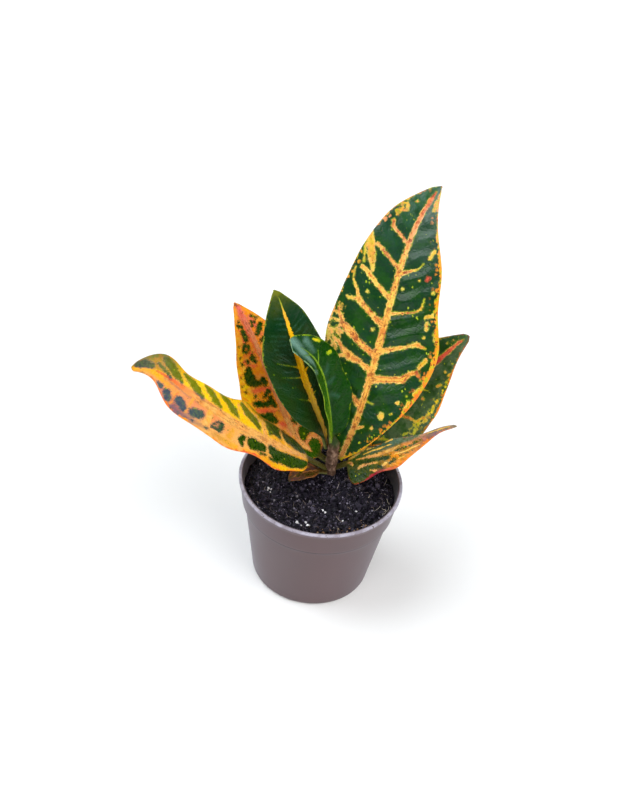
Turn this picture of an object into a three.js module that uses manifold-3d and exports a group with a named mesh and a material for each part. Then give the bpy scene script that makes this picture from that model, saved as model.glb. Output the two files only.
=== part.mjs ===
// A young croton in a round plastic nursery pot, standing upright on a flat surface.
// Millimetres, +Z up. The origin is the middle of the pot's flat base, and -Y is the front.
import * as THREE from 'three';
import { mergeVertices } from 'three/addons/utils/BufferGeometryUtils.js';
import Module from 'manifold-3d';

const wasm = await Module();
wasm.setup();

// Clearance between pieces that touch on the real plant
const GAP = 0.3;

// Pot: outer radii at the base, at the top of the body, at the collar's foot and at the lip
const POT_HEIGHT = 44.6;
const BASE_RADIUS = 22.4;
const BODY_TOP_RADIUS = 27.2;
const COLLAR_FOOT_RADIUS = 28.2;
const COLLAR_TOP_RADIUS = 29.4;
const LIP_RADIUS = 30;
const BASE_ROUNDING = 1.6;
const COLLAR_FOOT_HEIGHT = 33.8;
const COLLAR_STEP = 0.6;
const LIP_HEIGHT = 1.3;
const LIP_ROUNDING = 0.3;
const WALL = 1;
const FLOOR = 1.4;
const POT_SIDES = 48;
const DRAIN_HOLES = 6;
const DRAIN_RADIUS = 2.4;
const DRAIN_CIRCLE = 15.5;

// Soil: heights at the pot's wall and at its middle, and the size of its clods
const SOIL_EDGE_HEIGHT = 38.4;
const SOIL_MIDDLE_HEIGHT = 40;
const CLOD_HEIGHT = 0.5;
const SOIL_RINGS = 8;

// Stem: its middle stands a little behind and right of the pot's
const STEM_X = 3;
const STEM_Y = 8;
const STEM_RADIUS = 2.4;
const STEM_FOOT = 20;
const STEM_TOP = 55.4;
const SCARS = [43.2, 46.4, 49.8, 52.6];
const SCAR_RELIEF = 0.25;
const STEM_TAPER = 0.25;
const TAPER_START = 36;

// Blades and leaf stalks
const BLADE_THICKNESS = 0.7;
const RIB_THICKNESS = 0.8;
const RIB_REACH = 1.6;
const STALK_HALF_WIDTH = 1.1;
const STALK_FADE = 0.5;
const TIP_TAPER = 0.02;
const LEAST_HALF_WIDTH = 0.15;
const LEAF_ROWS = 30;
const STEPS_PER_ROW = 8;
const ACROSS = [-1, -0.8, -0.55, -0.3, -0.12, 0, 0.12, 0.3, 0.55, 0.8, 1];

// Each leaf's midrib leaves the stem at foot.turn degrees about it, foot.reach beyond its surface,
// and is length long. rise and heading are its slope and compass direction in degrees at even
// stations from foot to tip, and roll tips the blade about it. left and right are the blade's
// half widths from its foot to its tip, and foldLeft and foldRight say how far each half is raised.
// The blade starts at bladeStart of the length and swells over baseRound of the rest.
const LEAVES = {
  leaf_tall: {
    colour: 0x1f4a22,
    foot: { turn: 18, reach: 0.6, height: 47.5 },
    length: 107,
    rise: [66, 62.5, 56, 47.5, 35.5],
    heading: [51, 71, 77, 70, 51],
    roll: [7, 5, 4.5, 4],
    bladeStart: 0,
    baseRound: 0.06,
    left: [1.5, 8.5, 15.5, 19, 17.5, 15, 10.5, 1.2],
    right: [1.5, 11, 18.8, 22, 18, 15, 7.7, 0.3],
    foldLeft: [7, 9.5, 12],
    foldRight: [5, 7.5, 9.5],
    ripples: 7,
  },
  leaf_right: {
    colour: 0x2c4f35,
    foot: { turn: 66, reach: 0.3, height: 45.6 },
    length: 67,
    rise: [42, 42, 41, 38],
    heading: [39.5, 36, 30.5, 21.5],
    roll: [14.5, 16, 12],
    bladeStart: 0.08,
    baseRound: 0.2,
    left: [5, 10.5, 14.5, 15, 12, 7, 1.2],
    right: [2, 9, 17, 17, 13, 6.7, 1.3],
    foldLeft: [8, 7, 5],
    foldRight: [3, 0.5, 1.5],
    ripples: 5,
  },
  leaf_low_right: {
    colour: 0x6f6a35,
    foot: { turn: -14, reach: 0.1, height: 44.6 },
    length: 48.5,
    rise: [42, 38.5, 34, 27, 17.5],
    heading: [-22.5, -9.5, 2.5, 11, 14.5],
    roll: [0, 0, 0, 0],
    bladeStart: 0.1,
    baseRound: 0.1,
    left: [6, 4.2, 2.8, 3.4, 2.5, 0.9, 1.4, 0.6],
    right: [9.4, 8, 7.2, 7.4, 5.7, 2.8, 0.8, 0.2],
    foldLeft: [20.5, 20, 20],
    foldRight: [-35.5, -30.5, -24],
    ripples: 4,
  },
  leaf_centre: {
    colour: 0x17401f,
    foot: { turn: 150, reach: 0.45, height: 52 },
    length: 63.5,
    rise: [72, 65, 62, 56],
    heading: [177, 163.5, 150, 143],
    roll: [-8, -16, -20],
    bladeStart: 0.05,
    baseRound: 0.25,
    left: [1, 8.4, 13.8, 14.3, 13.3, 7.8, 0.3],
    right: [3, 8, 11.7, 12.6, 10, 7.4, 0.9],
    foldLeft: [17, 7.5, 1],
    foldRight: [16, 10.5, 5.5],
    ripples: 5,
  },
  leaf_back_left: {
    colour: 0xd9772b,
    foot: { turn: 150, reach: 0.35, height: 45.6 },
    length: 67.5,
    rise: [26, 47, 52, 45],
    heading: [172, 144, 143, 155],
    roll: [-4, -6, -7],
    bladeStart: 0.04,
    baseRound: 0.14,
    left: [4.5, 11, 15.5, 15.4, 12.3, 7.6, 1.2],
    right: [8.5, 13, 15.4, 15.4, 12.8, 7, 0.3],
    foldLeft: [9, 5.5, 2.5],
    foldRight: [11, 8, 5],
    ripples: 5,
  },
  leaf_low_left: {
    colour: 0xe0912f,
    foot: { turn: 215, reach: 0.1, height: 44.2 },
    length: 90,
    rise: [41, 41, 38, 37.5, 20, -27],
    heading: [214, 209, 204, 187.5, 166.5, 164],
    roll: [-7, -6.5, -6.5, -12.5],
    bladeStart: 0.12,
    baseRound: 0.07,
    left: [5, 8.7, 11.6, 10.2, 12.6, 11, 10, 3.5, 1.5],
    right: [5.5, 7, 8, 10.8, 7.6, 5.3, 4.2, 6.4, 1.1],
    foldLeft: [-14.5, -14, -11],
    foldRight: [1, 7, 18.5],
    ripples: 5,
  },
  leaf_young: {
    colour: 0x1c5a1c,
    foot: { turn: 190, reach: -1.6, height: 55.9 },
    length: 49,
    rise: [78.5, 75.5, 72, 56, 32],
    heading: [142, 158.5, 174, 193, 208],
    roll: [-19, -25.5, -34.5, -49],
    bladeStart: 0.05,
    baseRound: 0.3,
    left: [4.9, 6.1, 7.7, 8, 6.5, 6, 4.5],
    right: [7.5, 7.6, 9.3, 9, 8.8, 5.7, 1],
    foldLeft: [58, 38.5, 22],
    foldRight: [27, 14.5, 5.5],
    ripples: 4,
  },
  leaf_small: {
    colour: 0x5f5a32,
    foot: { turn: 224, reach: 0.55, height: 42.6 },
    length: 15,
    rise: [6, 2, -5, -10],
    heading: [194, 202, 218, 240],
    roll: [4, 4, 4],
    bladeStart: 0.15,
    baseRound: 0.5,
    left: [1.5, 3.5, 4, 3.4, 2.4, 0.4],
    right: [1.5, 4, 4.6, 3.8, 2.2, 0.4],
    foldLeft: [6, 4, 2],
    foldRight: [8, 6, 4],
    ripples: 2,
  },
};
const RIPPLE_HEIGHT = 0.35;

const RADIANS = Math.PI / 180;

// The value at t (0 to 1) of a smooth curve through evenly spaced stations
function along(stations, t) {
  const last = stations.length - 1;
  const place = Math.min(Math.max(t, 0), 1) * last;
  const start = Math.min(Math.floor(place), last - 1);
  const part = place - start;
  const at = (index) => {
    if (index < 0) return 2 * stations[0] - stations[1];
    if (index > last) return 2 * stations[last] - stations[last - 1];
    return stations[index];
  };
  const [a, b, c, d] = [at(start - 1), at(start), at(start + 1), at(start + 2)];
  const bend = 3 * (b - c) + d - a;
  return b + 0.5 * part * (c - a + part * (2 * a - 5 * b + 4 * c - d + part * bend));
}

// The half width of a leaf at u along it: the stalk, then a blade that swells and tapers
function halfWidth(leaf, u, side) {
  const blade = Math.max(0, (u - leaf.bladeStart) / (1 - leaf.bladeStart));
  const short = 1 - Math.min(1, blade / leaf.baseRound);
  const shoulder = Math.sqrt(Math.max(0, 1 - short * short));
  const taper = Math.sqrt(Math.min(1, (1 - blade) / TIP_TAPER));
  const stalk = STALK_HALF_WIDTH * Math.max(0, 1 - blade / STALK_FADE);
  const width = along(side > 0 ? leaf.left : leaf.right, blade);
  return Math.max(LEAST_HALF_WIDTH, width * shoulder * taper + stalk);
}

// The thickness of a leaf x millimetres to the side of its midrib: a thin blade with a rib below
function thickness(leaf, u, x) {
  const rib = Math.max(0, 1 - (x / RIB_REACH) ** 2);
  return BLADE_THICKNESS + RIB_THICKNESS * (1 - 0.75 * u) * rib;
}

// The midrib's points and directions at each row: forward, to the leaf's left, and up out of its face
function midrib(leaf) {
  const turn = leaf.foot.turn * RADIANS;
  const reach = STEM_RADIUS + leaf.foot.reach;
  const point = new THREE.Vector3(
    STEM_X + reach * Math.cos(turn),
    STEM_Y + reach * Math.sin(turn),
    leaf.foot.height,
  );
  const step = 1 / (STEPS_PER_ROW * LEAF_ROWS);
  const rows = [];
  for (let row = 0; row <= LEAF_ROWS; row += 1) {
    const u = row / LEAF_ROWS;
    const forward = directionAt(leaf, u);
    const heading = along(leaf.heading, u) * RADIANS;
    const left = new THREE.Vector3(-Math.sin(heading), Math.cos(heading), 0);
    left.applyAxisAngle(forward, along(leaf.roll, u) * RADIANS);
    const up = new THREE.Vector3().crossVectors(forward, left);
    rows.push({ u, point: point.clone(), left, up });
    for (let part = 0; part < STEPS_PER_ROW; part += 1) {
      point.addScaledVector(directionAt(leaf, u + (part + 0.5) * step), leaf.length * step);
    }
  }
  return rows;
}

// The way a midrib runs at u, from its slope and its compass heading
function directionAt(leaf, u) {
  const rise = along(leaf.rise, u) * RADIANS;
  const heading = along(leaf.heading, u) * RADIANS;
  const level = Math.cos(rise);
  return new THREE.Vector3(level * Math.cos(heading), level * Math.sin(heading), Math.sin(rise));
}

// The upper and lower points of a leaf at v across it, from -1 at its right edge to 1 at its left
function acrossPair(leaf, row, v) {
  const side = v < 0 ? -1 : 1;
  const x = Math.abs(v) * halfWidth(leaf, row.u, side);
  const fold = along(side > 0 ? leaf.foldLeft : leaf.foldRight, row.u) * RADIANS;
  const wave = Math.sin(2 * Math.PI * (leaf.ripples * row.u + 0.25 * side));
  const ripple = RIPPLE_HEIGHT * wave * v * v * Math.sin(Math.PI * row.u);
  const upper = row.point
    .clone()
    .addScaledVector(row.left, side * x * Math.cos(fold))
    .addScaledVector(row.up, x * Math.sin(fold) + ripple);
  const tilt = fold * Math.min(1, Math.abs(v) / 0.2);
  const face = row.up
    .clone()
    .multiplyScalar(Math.cos(tilt))
    .addScaledVector(row.left, -side * Math.sin(tilt));
  const lower = upper.clone().addScaledVector(face, -thickness(leaf, row.u, x));
  return { upper, lower };
}

// A closed solid from two grids of points, an upper and a lower one, split alike
function slab(pairs) {
  const rows = pairs.length;
  const columns = pairs[0].length;
  const positions = [];
  for (const key of ['upper', 'lower']) {
    for (const line of pairs) {
      for (const pair of line) positions.push(...pair[key].toArray());
    }
  }
  const faces = [];
  const lower = rows * columns;
  const index = (row, column) => row * columns + column;
  for (let row = 0; row < rows - 1; row += 1) {
    for (let column = 0; column < columns - 1; column += 1) {
      const a = index(row, column);
      const b = index(row + 1, column);
      const c = index(row + 1, column + 1);
      const d = index(row, column + 1);
      faces.push(a, b, c, a, c, d);
      faces.push(a + lower, c + lower, b + lower, a + lower, d + lower, c + lower);
    }
  }
  const border = [];
  for (let column = 0; column < columns - 1; column += 1) border.push(index(0, column));
  for (let row = 0; row < rows - 1; row += 1) border.push(index(row, columns - 1));
  for (let column = columns - 1; column > 0; column -= 1) border.push(index(rows - 1, column));
  for (let row = rows - 1; row > 0; row -= 1) border.push(index(row, 0));
  border.forEach((a, place) => {
    const b = border[(place + 1) % border.length];
    faces.push(a, b, b + lower, a, b + lower, a + lower);
  });
  const geometry = new THREE.BufferGeometry();
  geometry.setAttribute('position', new THREE.Float32BufferAttribute(positions, 3));
  geometry.setIndex(faces);
  geometry.computeVertexNormals();
  return geometry;
}

function leafGeometry(leaf) {
  return slab(midrib(leaf).map((row) => ACROSS.map((v) => acrossPair(leaf, row, v))));
}

// Between three.js geometries and solids that can be cut
function toSolid(geometry) {
  const bare = geometry.clone();
  bare.deleteAttribute('normal');
  bare.deleteAttribute('uv');
  const merged = mergeVertices(bare, 1e-4);
  const vertProperties = new Float32Array(merged.getAttribute('position').array);
  const triVerts = new Uint32Array(merged.getIndex().array);
  return new wasm.Manifold(new wasm.Mesh({ numProp: 3, vertProperties, triVerts }));
}

function toGeometry(solid) {
  const mesh = solid.getMesh();
  const geometry = new THREE.BufferGeometry();
  geometry.setAttribute('position', new THREE.BufferAttribute(mesh.vertProperties, 3));
  geometry.setIndex(new THREE.BufferAttribute(mesh.triVerts, 1));
  geometry.computeVertexNormals();
  return geometry;
}

// A profile of [radius, height] points that starts and ends on the axis, turned about +Z
function turned(profile, sides) {
  const points = profile.map(([radius, height]) => new THREE.Vector2(radius, height));
  return new THREE.LatheGeometry(points, sides).rotateX(Math.PI / 2);
}

function uprightCylinder(radius, bottom, top, x, y, sides) {
  return new THREE.CylinderGeometry(radius, radius, top - bottom, sides)
    .rotateX(Math.PI / 2)
    .translate(x, y, (top + bottom) / 2);
}

// The inside of the pot's wall at a height: the outside of the body or collar, less the wall
function insideRadius(height) {
  const body = BASE_RADIUS + ((BODY_TOP_RADIUS - BASE_RADIUS) * height) / COLLAR_FOOT_HEIGHT;
  if (height <= COLLAR_FOOT_HEIGHT) return body - WALL;
  const climb = (height - COLLAR_FOOT_HEIGHT) / (POT_HEIGHT - COLLAR_FOOT_HEIGHT);
  return COLLAR_FOOT_RADIUS + (COLLAR_TOP_RADIUS - COLLAR_FOOT_RADIUS) * climb - WALL;
}

function potGeometry() {
  const lipFoot = POT_HEIGHT - LIP_HEIGHT;
  const profile = [
    [0, 0],
    [BASE_RADIUS - BASE_ROUNDING, 0],
    [BASE_RADIUS - 0.3 * BASE_ROUNDING, 0.3 * BASE_ROUNDING],
    [BASE_RADIUS, BASE_ROUNDING],
    [BODY_TOP_RADIUS, COLLAR_FOOT_HEIGHT - COLLAR_STEP],
    [COLLAR_FOOT_RADIUS, COLLAR_FOOT_HEIGHT],
    [COLLAR_TOP_RADIUS, lipFoot],
    [LIP_RADIUS, lipFoot + LIP_ROUNDING],
    [LIP_RADIUS, POT_HEIGHT - LIP_ROUNDING],
    [LIP_RADIUS - LIP_ROUNDING, POT_HEIGHT],
    [insideRadius(POT_HEIGHT), POT_HEIGHT],
    [insideRadius(COLLAR_FOOT_HEIGHT + COLLAR_STEP), COLLAR_FOOT_HEIGHT + COLLAR_STEP],
    [insideRadius(COLLAR_FOOT_HEIGHT), COLLAR_FOOT_HEIGHT],
    [insideRadius(FLOOR), FLOOR],
    [0, FLOOR],
  ];
  let pot = toSolid(turned(profile, POT_SIDES));
  for (let hole = 0; hole < DRAIN_HOLES; hole += 1) {
    const angle = (2 * Math.PI * hole) / DRAIN_HOLES;
    const x = DRAIN_CIRCLE * Math.cos(angle);
    const y = DRAIN_CIRCLE * Math.sin(angle);
    pot = pot.subtract(toSolid(uprightCylinder(DRAIN_RADIUS, -1, FLOOR + 1, x, y, 16)));
  }
  return toGeometry(pot);
}

// The lumps of the soil's top: two crossed waves about 4 and 7 mm long
function clods(x, y) {
  const coarse = Math.sin(0.9 * x + 0.4) * Math.cos(0.8 * y);
  const fine = Math.sin(1.7 * x + 1.3 * y) * Math.cos(1.1 * x - 1.6 * y + 0.7);
  return CLOD_HEIGHT * (0.6 * coarse + 0.4 * fine);
}

// The soil: a plug that fits the pot's inside, with a lumpy top and a plain hole for the stem
function soilGeometry() {
  const edge = insideRadius(SOIL_EDGE_HEIGHT) - GAP;
  const stepTop = COLLAR_FOOT_HEIGHT + COLLAR_STEP;
  const profile = [
    [0, FLOOR + GAP],
    [insideRadius(FLOOR) - GAP, FLOOR + GAP],
    [insideRadius(COLLAR_FOOT_HEIGHT) - GAP, COLLAR_FOOT_HEIGHT + GAP],
    [insideRadius(stepTop) - GAP, stepTop + GAP],
  ];
  for (let ring = SOIL_RINGS; ring >= 0; ring -= 1) {
    const share = ring / SOIL_RINGS;
    const rise = (SOIL_MIDDLE_HEIGHT - SOIL_EDGE_HEIGHT) * (1 - share ** 3);
    profile.push([edge * share, SOIL_EDGE_HEIGHT + rise]);
  }
  const plug = turned(profile, POT_SIDES);
  plug.deleteAttribute('normal');
  plug.deleteAttribute('uv');
  const merged = mergeVertices(plug, 1e-4);
  const position = merged.getAttribute('position');
  for (let i = 0; i < position.count; i += 1) {
    const [x, y, z] = [position.getX(i), position.getY(i), position.getZ(i)];
    const onTop = z >= SOIL_EDGE_HEIGHT - 0.01 && Math.hypot(x, y) < edge - 0.5;
    if (onTop) position.setZ(i, z + clods(x, y));
  }
  const hole = uprightCylinder(
    STEM_RADIUS + GAP,
    STEM_FOOT - GAP,
    STEM_TOP,
    STEM_X,
    STEM_Y,
    20,
  );
  return toGeometry(toSolid(merged).subtract(toSolid(hole)));
}

// The stem: a short woody shoot with a raised ring at each leaf scar
function stemGeometry() {
  const heights = [STEM_FOOT, TAPER_START];
  for (const scar of SCARS) heights.push(scar - 0.9, scar, scar + 0.7);
  heights.push(STEM_TOP - 0.6, STEM_TOP);
  const profile = heights.map((height) => {
    const climb = Math.max(0, (height - TAPER_START) / (STEM_TOP - TAPER_START));
    const relief = SCARS.includes(height) ? 0 : SCAR_RELIEF;
    const shoulder = height === STEM_TOP ? 0.5 : 0;
    return [STEM_RADIUS - STEM_TAPER * climb - relief - shoulder, height];
  });
  const ends = [[0, STEM_FOOT], ...profile, [0, STEM_TOP]];
  return toGeometry(toSolid(turned(ends, 16).translate(STEM_X, STEM_Y, 0)));
}

function piece(name, geometry, colour, roughness) {
  const material = new THREE.MeshStandardMaterial({ color: colour, roughness, metalness: 0 });
  const mesh = new THREE.Mesh(geometry, material);
  mesh.name = name;
  return mesh;
}

const croton = new THREE.Group();
croton.add(piece('pot', potGeometry(), 0x736262, 0.6));
croton.add(piece('soil', soilGeometry(), 0x1c1620, 1));
croton.add(piece('stem', stemGeometry(), 0x5a463c, 0.9));
for (const [name, leaf] of Object.entries(LEAVES)) {
  croton.add(piece(name, leafGeometry(leaf), leaf.colour, 0.4));
}

export default croton;
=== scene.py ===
"""A potted croton: eight painted leaves on a short woody stem, in soil, in a 60 mm nursery pot.

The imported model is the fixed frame. Every leaf, the stem, the soil and the pot get a fine surface
in its place, worked out from the same sizes. Sizes are in millimetres and become metres in
make_mesh. A leaf's own coordinates are s, the way from its foot, and a, the way across from its
midrib: positive on the left, seen from above with the tip ahead.
"""

import math

import bmesh
import bpy
import numpy as np
from mathutils import Matrix, Vector


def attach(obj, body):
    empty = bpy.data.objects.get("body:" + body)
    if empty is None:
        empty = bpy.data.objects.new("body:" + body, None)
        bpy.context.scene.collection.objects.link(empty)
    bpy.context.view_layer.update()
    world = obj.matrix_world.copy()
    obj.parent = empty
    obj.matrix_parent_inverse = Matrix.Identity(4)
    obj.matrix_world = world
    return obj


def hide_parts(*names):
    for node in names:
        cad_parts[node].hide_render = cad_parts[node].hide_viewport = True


MM = 0.001
SEED = 7

# Camera
CAMERA_PLACE = (0, -0.2951, 0.3147)
CAMERA_TARGET = (-0.004, 0, 0.0801)
CAMERA_ROLL = 7.34
CAMERA_LENS = 49.23

# Pot
POT_HEIGHT = 44.6
BASE_RADIUS = 22.4
BODY_TOP_RADIUS = 27.2
COLLAR_FOOT_RADIUS = 28.2
COLLAR_TOP_RADIUS = 29.4
LIP_RADIUS = 30
BASE_ROUNDING = 1.6
COLLAR_FOOT_HEIGHT = 33.8
COLLAR_STEP = 0.6
LIP_HEIGHT = 1.3
LIP_ROUNDING = 0.45
WALL = 1
FLOOR = 1.4
DRAIN_HOLES = 6
DRAIN_RADIUS = 2.4
DRAIN_CIRCLE = 15.5
POT_SIDES = 240
DRAIN_SIDES = 32

# Soil
GAP = 0.3
SOIL_EDGE_HEIGHT = 38.4
SOIL_MIDDLE_HEIGHT = 40
CLOD_HEIGHT = 0.5
SOIL_SIDES = 320
SOIL_RINGS = 76
CRUMBS = 3400
CHIPS = 84
STRAY_GRAINS = 44
STRAY_FIBRES = 190
FIBRE_REACH = 27.2

# Stem
STEM_X = 3
STEM_Y = 8
STEM_RADIUS = 2.4
STEM_FOOT = 20
STEM_TOP = 55.4
SCARS = (43.2, 46.4, 49.8, 52.6)
STEM_TAPER = 0.25
TAPER_START = 36
BUD_HEIGHT = 2.6
STEM_SIDES = 64

# Leaves
BLADE_THICKNESS = 0.42
LEAST_THICKNESS_SHARE = 0.55
NOSE = 0.1
RIB_DEPTH = 0.95
RIB_FLATTENING = 0.75
RIB_RADIUS = 1.25
RIB_NARROWING = 0.6
STALK_HALF_WIDTH = 1.1
STALK_FADE = 0.5
TIP_TAPER = 0.02
LEAST_HALF_WIDTH = 0.15
RIPPLE_HEIGHT = 0.35
ROOT_DEPTH = 0.9
GRID_STEP = 0.42
MIDRIB_STEPS = 240
CREASE_REACH = 24
NOISE_SHIFT = 9

# Stage
STAGE_RADIUS = 4000
STAGE_SIDES = 96
BACKDROP_RADIUS = 6000

# Leaf shapes. "foot" is where the stalk begins: its direction from the stem's axis, how far it
# stands out from the bark, and its height. Angles are in degrees, and rows hold values at even
# stations from foot to tip: the midrib's rise, heading and roll, the half widths on the left and
# the right, and how steeply these halves fold up. "blade_start" is the share of the length where
# the blade begins, "base_round" the share of the blade that its shoulder takes, and "ripples" the
# number of waves along its edge.
LEAVES = {
    "leaf_tall": {
        "foot": (18, 0.6, 47.5), "length": 107, "blade_start": 0, "base_round": 0.06, "ripples": 7,
        "rise": [66, 62.5, 56, 47.5, 35.5], "heading": [51, 71, 77, 70, 51], "roll": [7, 5, 4.5, 4],
        "left": [1.5, 8.5, 15.5, 19, 17.5, 15, 10.5, 1.2], "right": [1.5, 11, 18.8, 22, 18, 15, 7.7, 0.3],
        "fold_left": [7, 9.5, 12], "fold_right": [5, 7.5, 9.5],
    },
    "leaf_right": {
        "foot": (66, 0.3, 45.6), "length": 67, "blade_start": 0.08, "base_round": 0.2, "ripples": 5,
        "rise": [42, 42, 41, 38], "heading": [39.5, 36, 30.5, 21.5], "roll": [14.5, 16, 12],
        "left": [5, 10.5, 14.5, 15, 12, 7, 1.2], "right": [2, 9, 17, 17, 13, 6.7, 1.3],
        "fold_left": [8, 7, 5], "fold_right": [3, 0.5, 1.5],
    },
    "leaf_low_right": {
        "foot": (-14, 0.1, 44.6), "length": 48.5, "blade_start": 0.1, "base_round": 0.1, "ripples": 4,
        "rise": [42, 38.5, 34, 27, 17.5], "heading": [-22.5, -9.5, 2.5, 11, 14.5], "roll": [0, 0, 0, 0],
        "left": [6, 4.2, 2.8, 3.4, 2.5, 0.9, 1.4, 0.6], "right": [9.4, 8, 7.2, 7.4, 5.7, 2.8, 0.8, 0.2],
        "fold_left": [20.5, 20, 20], "fold_right": [-35.5, -30.5, -24],
    },
    "leaf_centre": {
        "foot": (150, 0.45, 52), "length": 63.5, "blade_start": 0.05, "base_round": 0.25, "ripples": 5,
        "rise": [72, 65, 62, 56], "heading": [177, 163.5, 150, 143], "roll": [-8, -16, -20],
        "left": [1, 8.4, 13.8, 14.3, 13.3, 7.8, 0.3], "right": [3, 8, 11.7, 12.6, 10, 7.4, 0.9],
        "fold_left": [17, 7.5, 1], "fold_right": [16, 10.5, 5.5],
    },
    "leaf_back_left": {
        "foot": (150, 0.35, 45.6), "length": 67.5, "blade_start": 0.04, "base_round": 0.14, "ripples": 5,
        "rise": [26, 47, 52, 45], "heading": [172, 144, 143, 155], "roll": [-4, -6, -7],
        "left": [4.5, 11, 15.5, 15.4, 12.3, 7.6, 1.2], "right": [8.5, 13, 15.4, 15.4, 12.8, 7, 0.3],
        "fold_left": [9, 5.5, 2.5], "fold_right": [11, 8, 5],
    },
    "leaf_low_left": {
        "foot": (215, 0.1, 44.2), "length": 90, "blade_start": 0.12, "base_round": 0.07, "ripples": 5,
        "rise": [41, 41, 38, 37.5, 20, -27], "heading": [214, 209, 204, 187.5, 166.5, 164],
        "roll": [-7, -6.5, -6.5, -12.5],
        "left": [5, 8.7, 11.6, 10.2, 12.6, 11, 10, 3.5, 1.5],
        "right": [5.5, 7, 8, 10.8, 7.6, 5.3, 4.2, 6.4, 1.1],
        "fold_left": [-14.5, -14, -11], "fold_right": [1, 7, 18.5],
    },
    "leaf_young": {
        "foot": (190, -1.6, 55.9), "length": 49, "blade_start": 0.05, "base_round": 0.3, "ripples": 4,
        "rise": [78.5, 75.5, 72, 56, 32], "heading": [142, 158.5, 174, 193, 208],
        "roll": [-19, -25.5, -34.5, -49],
        "left": [4.9, 6.1, 7.7, 8, 6.5, 6, 4.5], "right": [7.5, 7.6, 9.3, 9, 8.8, 5.7, 1],
        "fold_left": [58, 38.5, 22], "fold_right": [27, 14.5, 5.5],
    },
    "leaf_small": {
        "foot": (224, 0.55, 42.6), "length": 15, "blade_start": 0.15, "base_round": 0.5, "ripples": 2,
        "rise": [6, 2, -5, -10], "heading": [194, 202, 218, 240], "roll": [4, 4, 4],
        "left": [1.5, 3.5, 4, 3.4, 2.4, 0.4], "right": [1.5, 4, 4.6, 3.8, 2.2, 0.4],
        "fold_left": [6, 4, 2], "fold_right": [8, 6, 4],
    },
}

# Colours, as they show on a screen, 0 to 255
COLOURS = {
    "deep_green": (10, 56, 2), "pine": (12, 54, 30), "moss": (28, 54, 16), "leaf_green": (28, 78, 0),
    "young_green": (48, 104, 10), "light_green": (118, 152, 18), "grey_green": (78, 100, 62),
    # The first three colours on the next line are painted sheen for the leaves.
    "sea_green": (52, 94, 72), "steel": (92, 116, 104), "bloom": (112, 152, 138), "slate": (66, 78, 92),
    "ink": (20, 38, 48), "mauve": (128, 92, 104), "olive": (112, 116, 0), "lime": (168, 186, 8),
    "yellow": (252, 208, 0), "gold": (246, 172, 10), "ochre": (176, 144, 16), "cream": (255, 226, 140),
    "butter": (252, 198, 78), "honey": (248, 184, 74), "peach": (246, 182, 96), "salmon": (240, 152, 92),
    "orange": (246, 146, 6), "tangerine": (244, 120, 24), "coral": (236, 110, 52),
    "scarlet": (236, 84, 56), "pink": (236, 100, 96), "crimson": (164, 38, 44), "rust": (140, 52, 20),
    "amber": (214, 120, 40), "sienna": (150, 84, 40), "camel": (196, 140, 78), "tan": (150, 124, 100),
    "brown": (72, 68, 26), "shade_umber": (64, 36, 12), "sage": (150, 158, 96), "plastic": (82, 63, 64),
    "plastic_cloud": (88, 67, 68), "plastic_cool_light": (87, 76, 86), "plastic_dusty": (40, 33, 34),
    "plastic_crusted": (74, 60, 58), "plastic_worn_highlight": (172, 167, 182), "plastic_specked": (90, 74, 66),
    "plastic_shaded": (48, 38, 40), "peat": (4, 4, 9), "peat_fleck": (66, 58, 76), "bark": (84, 60, 46),
    "bark_flake": (146, 116, 96), "floor": (243, 243, 244), "floor_pale": (246, 246, 246),
}
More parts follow.
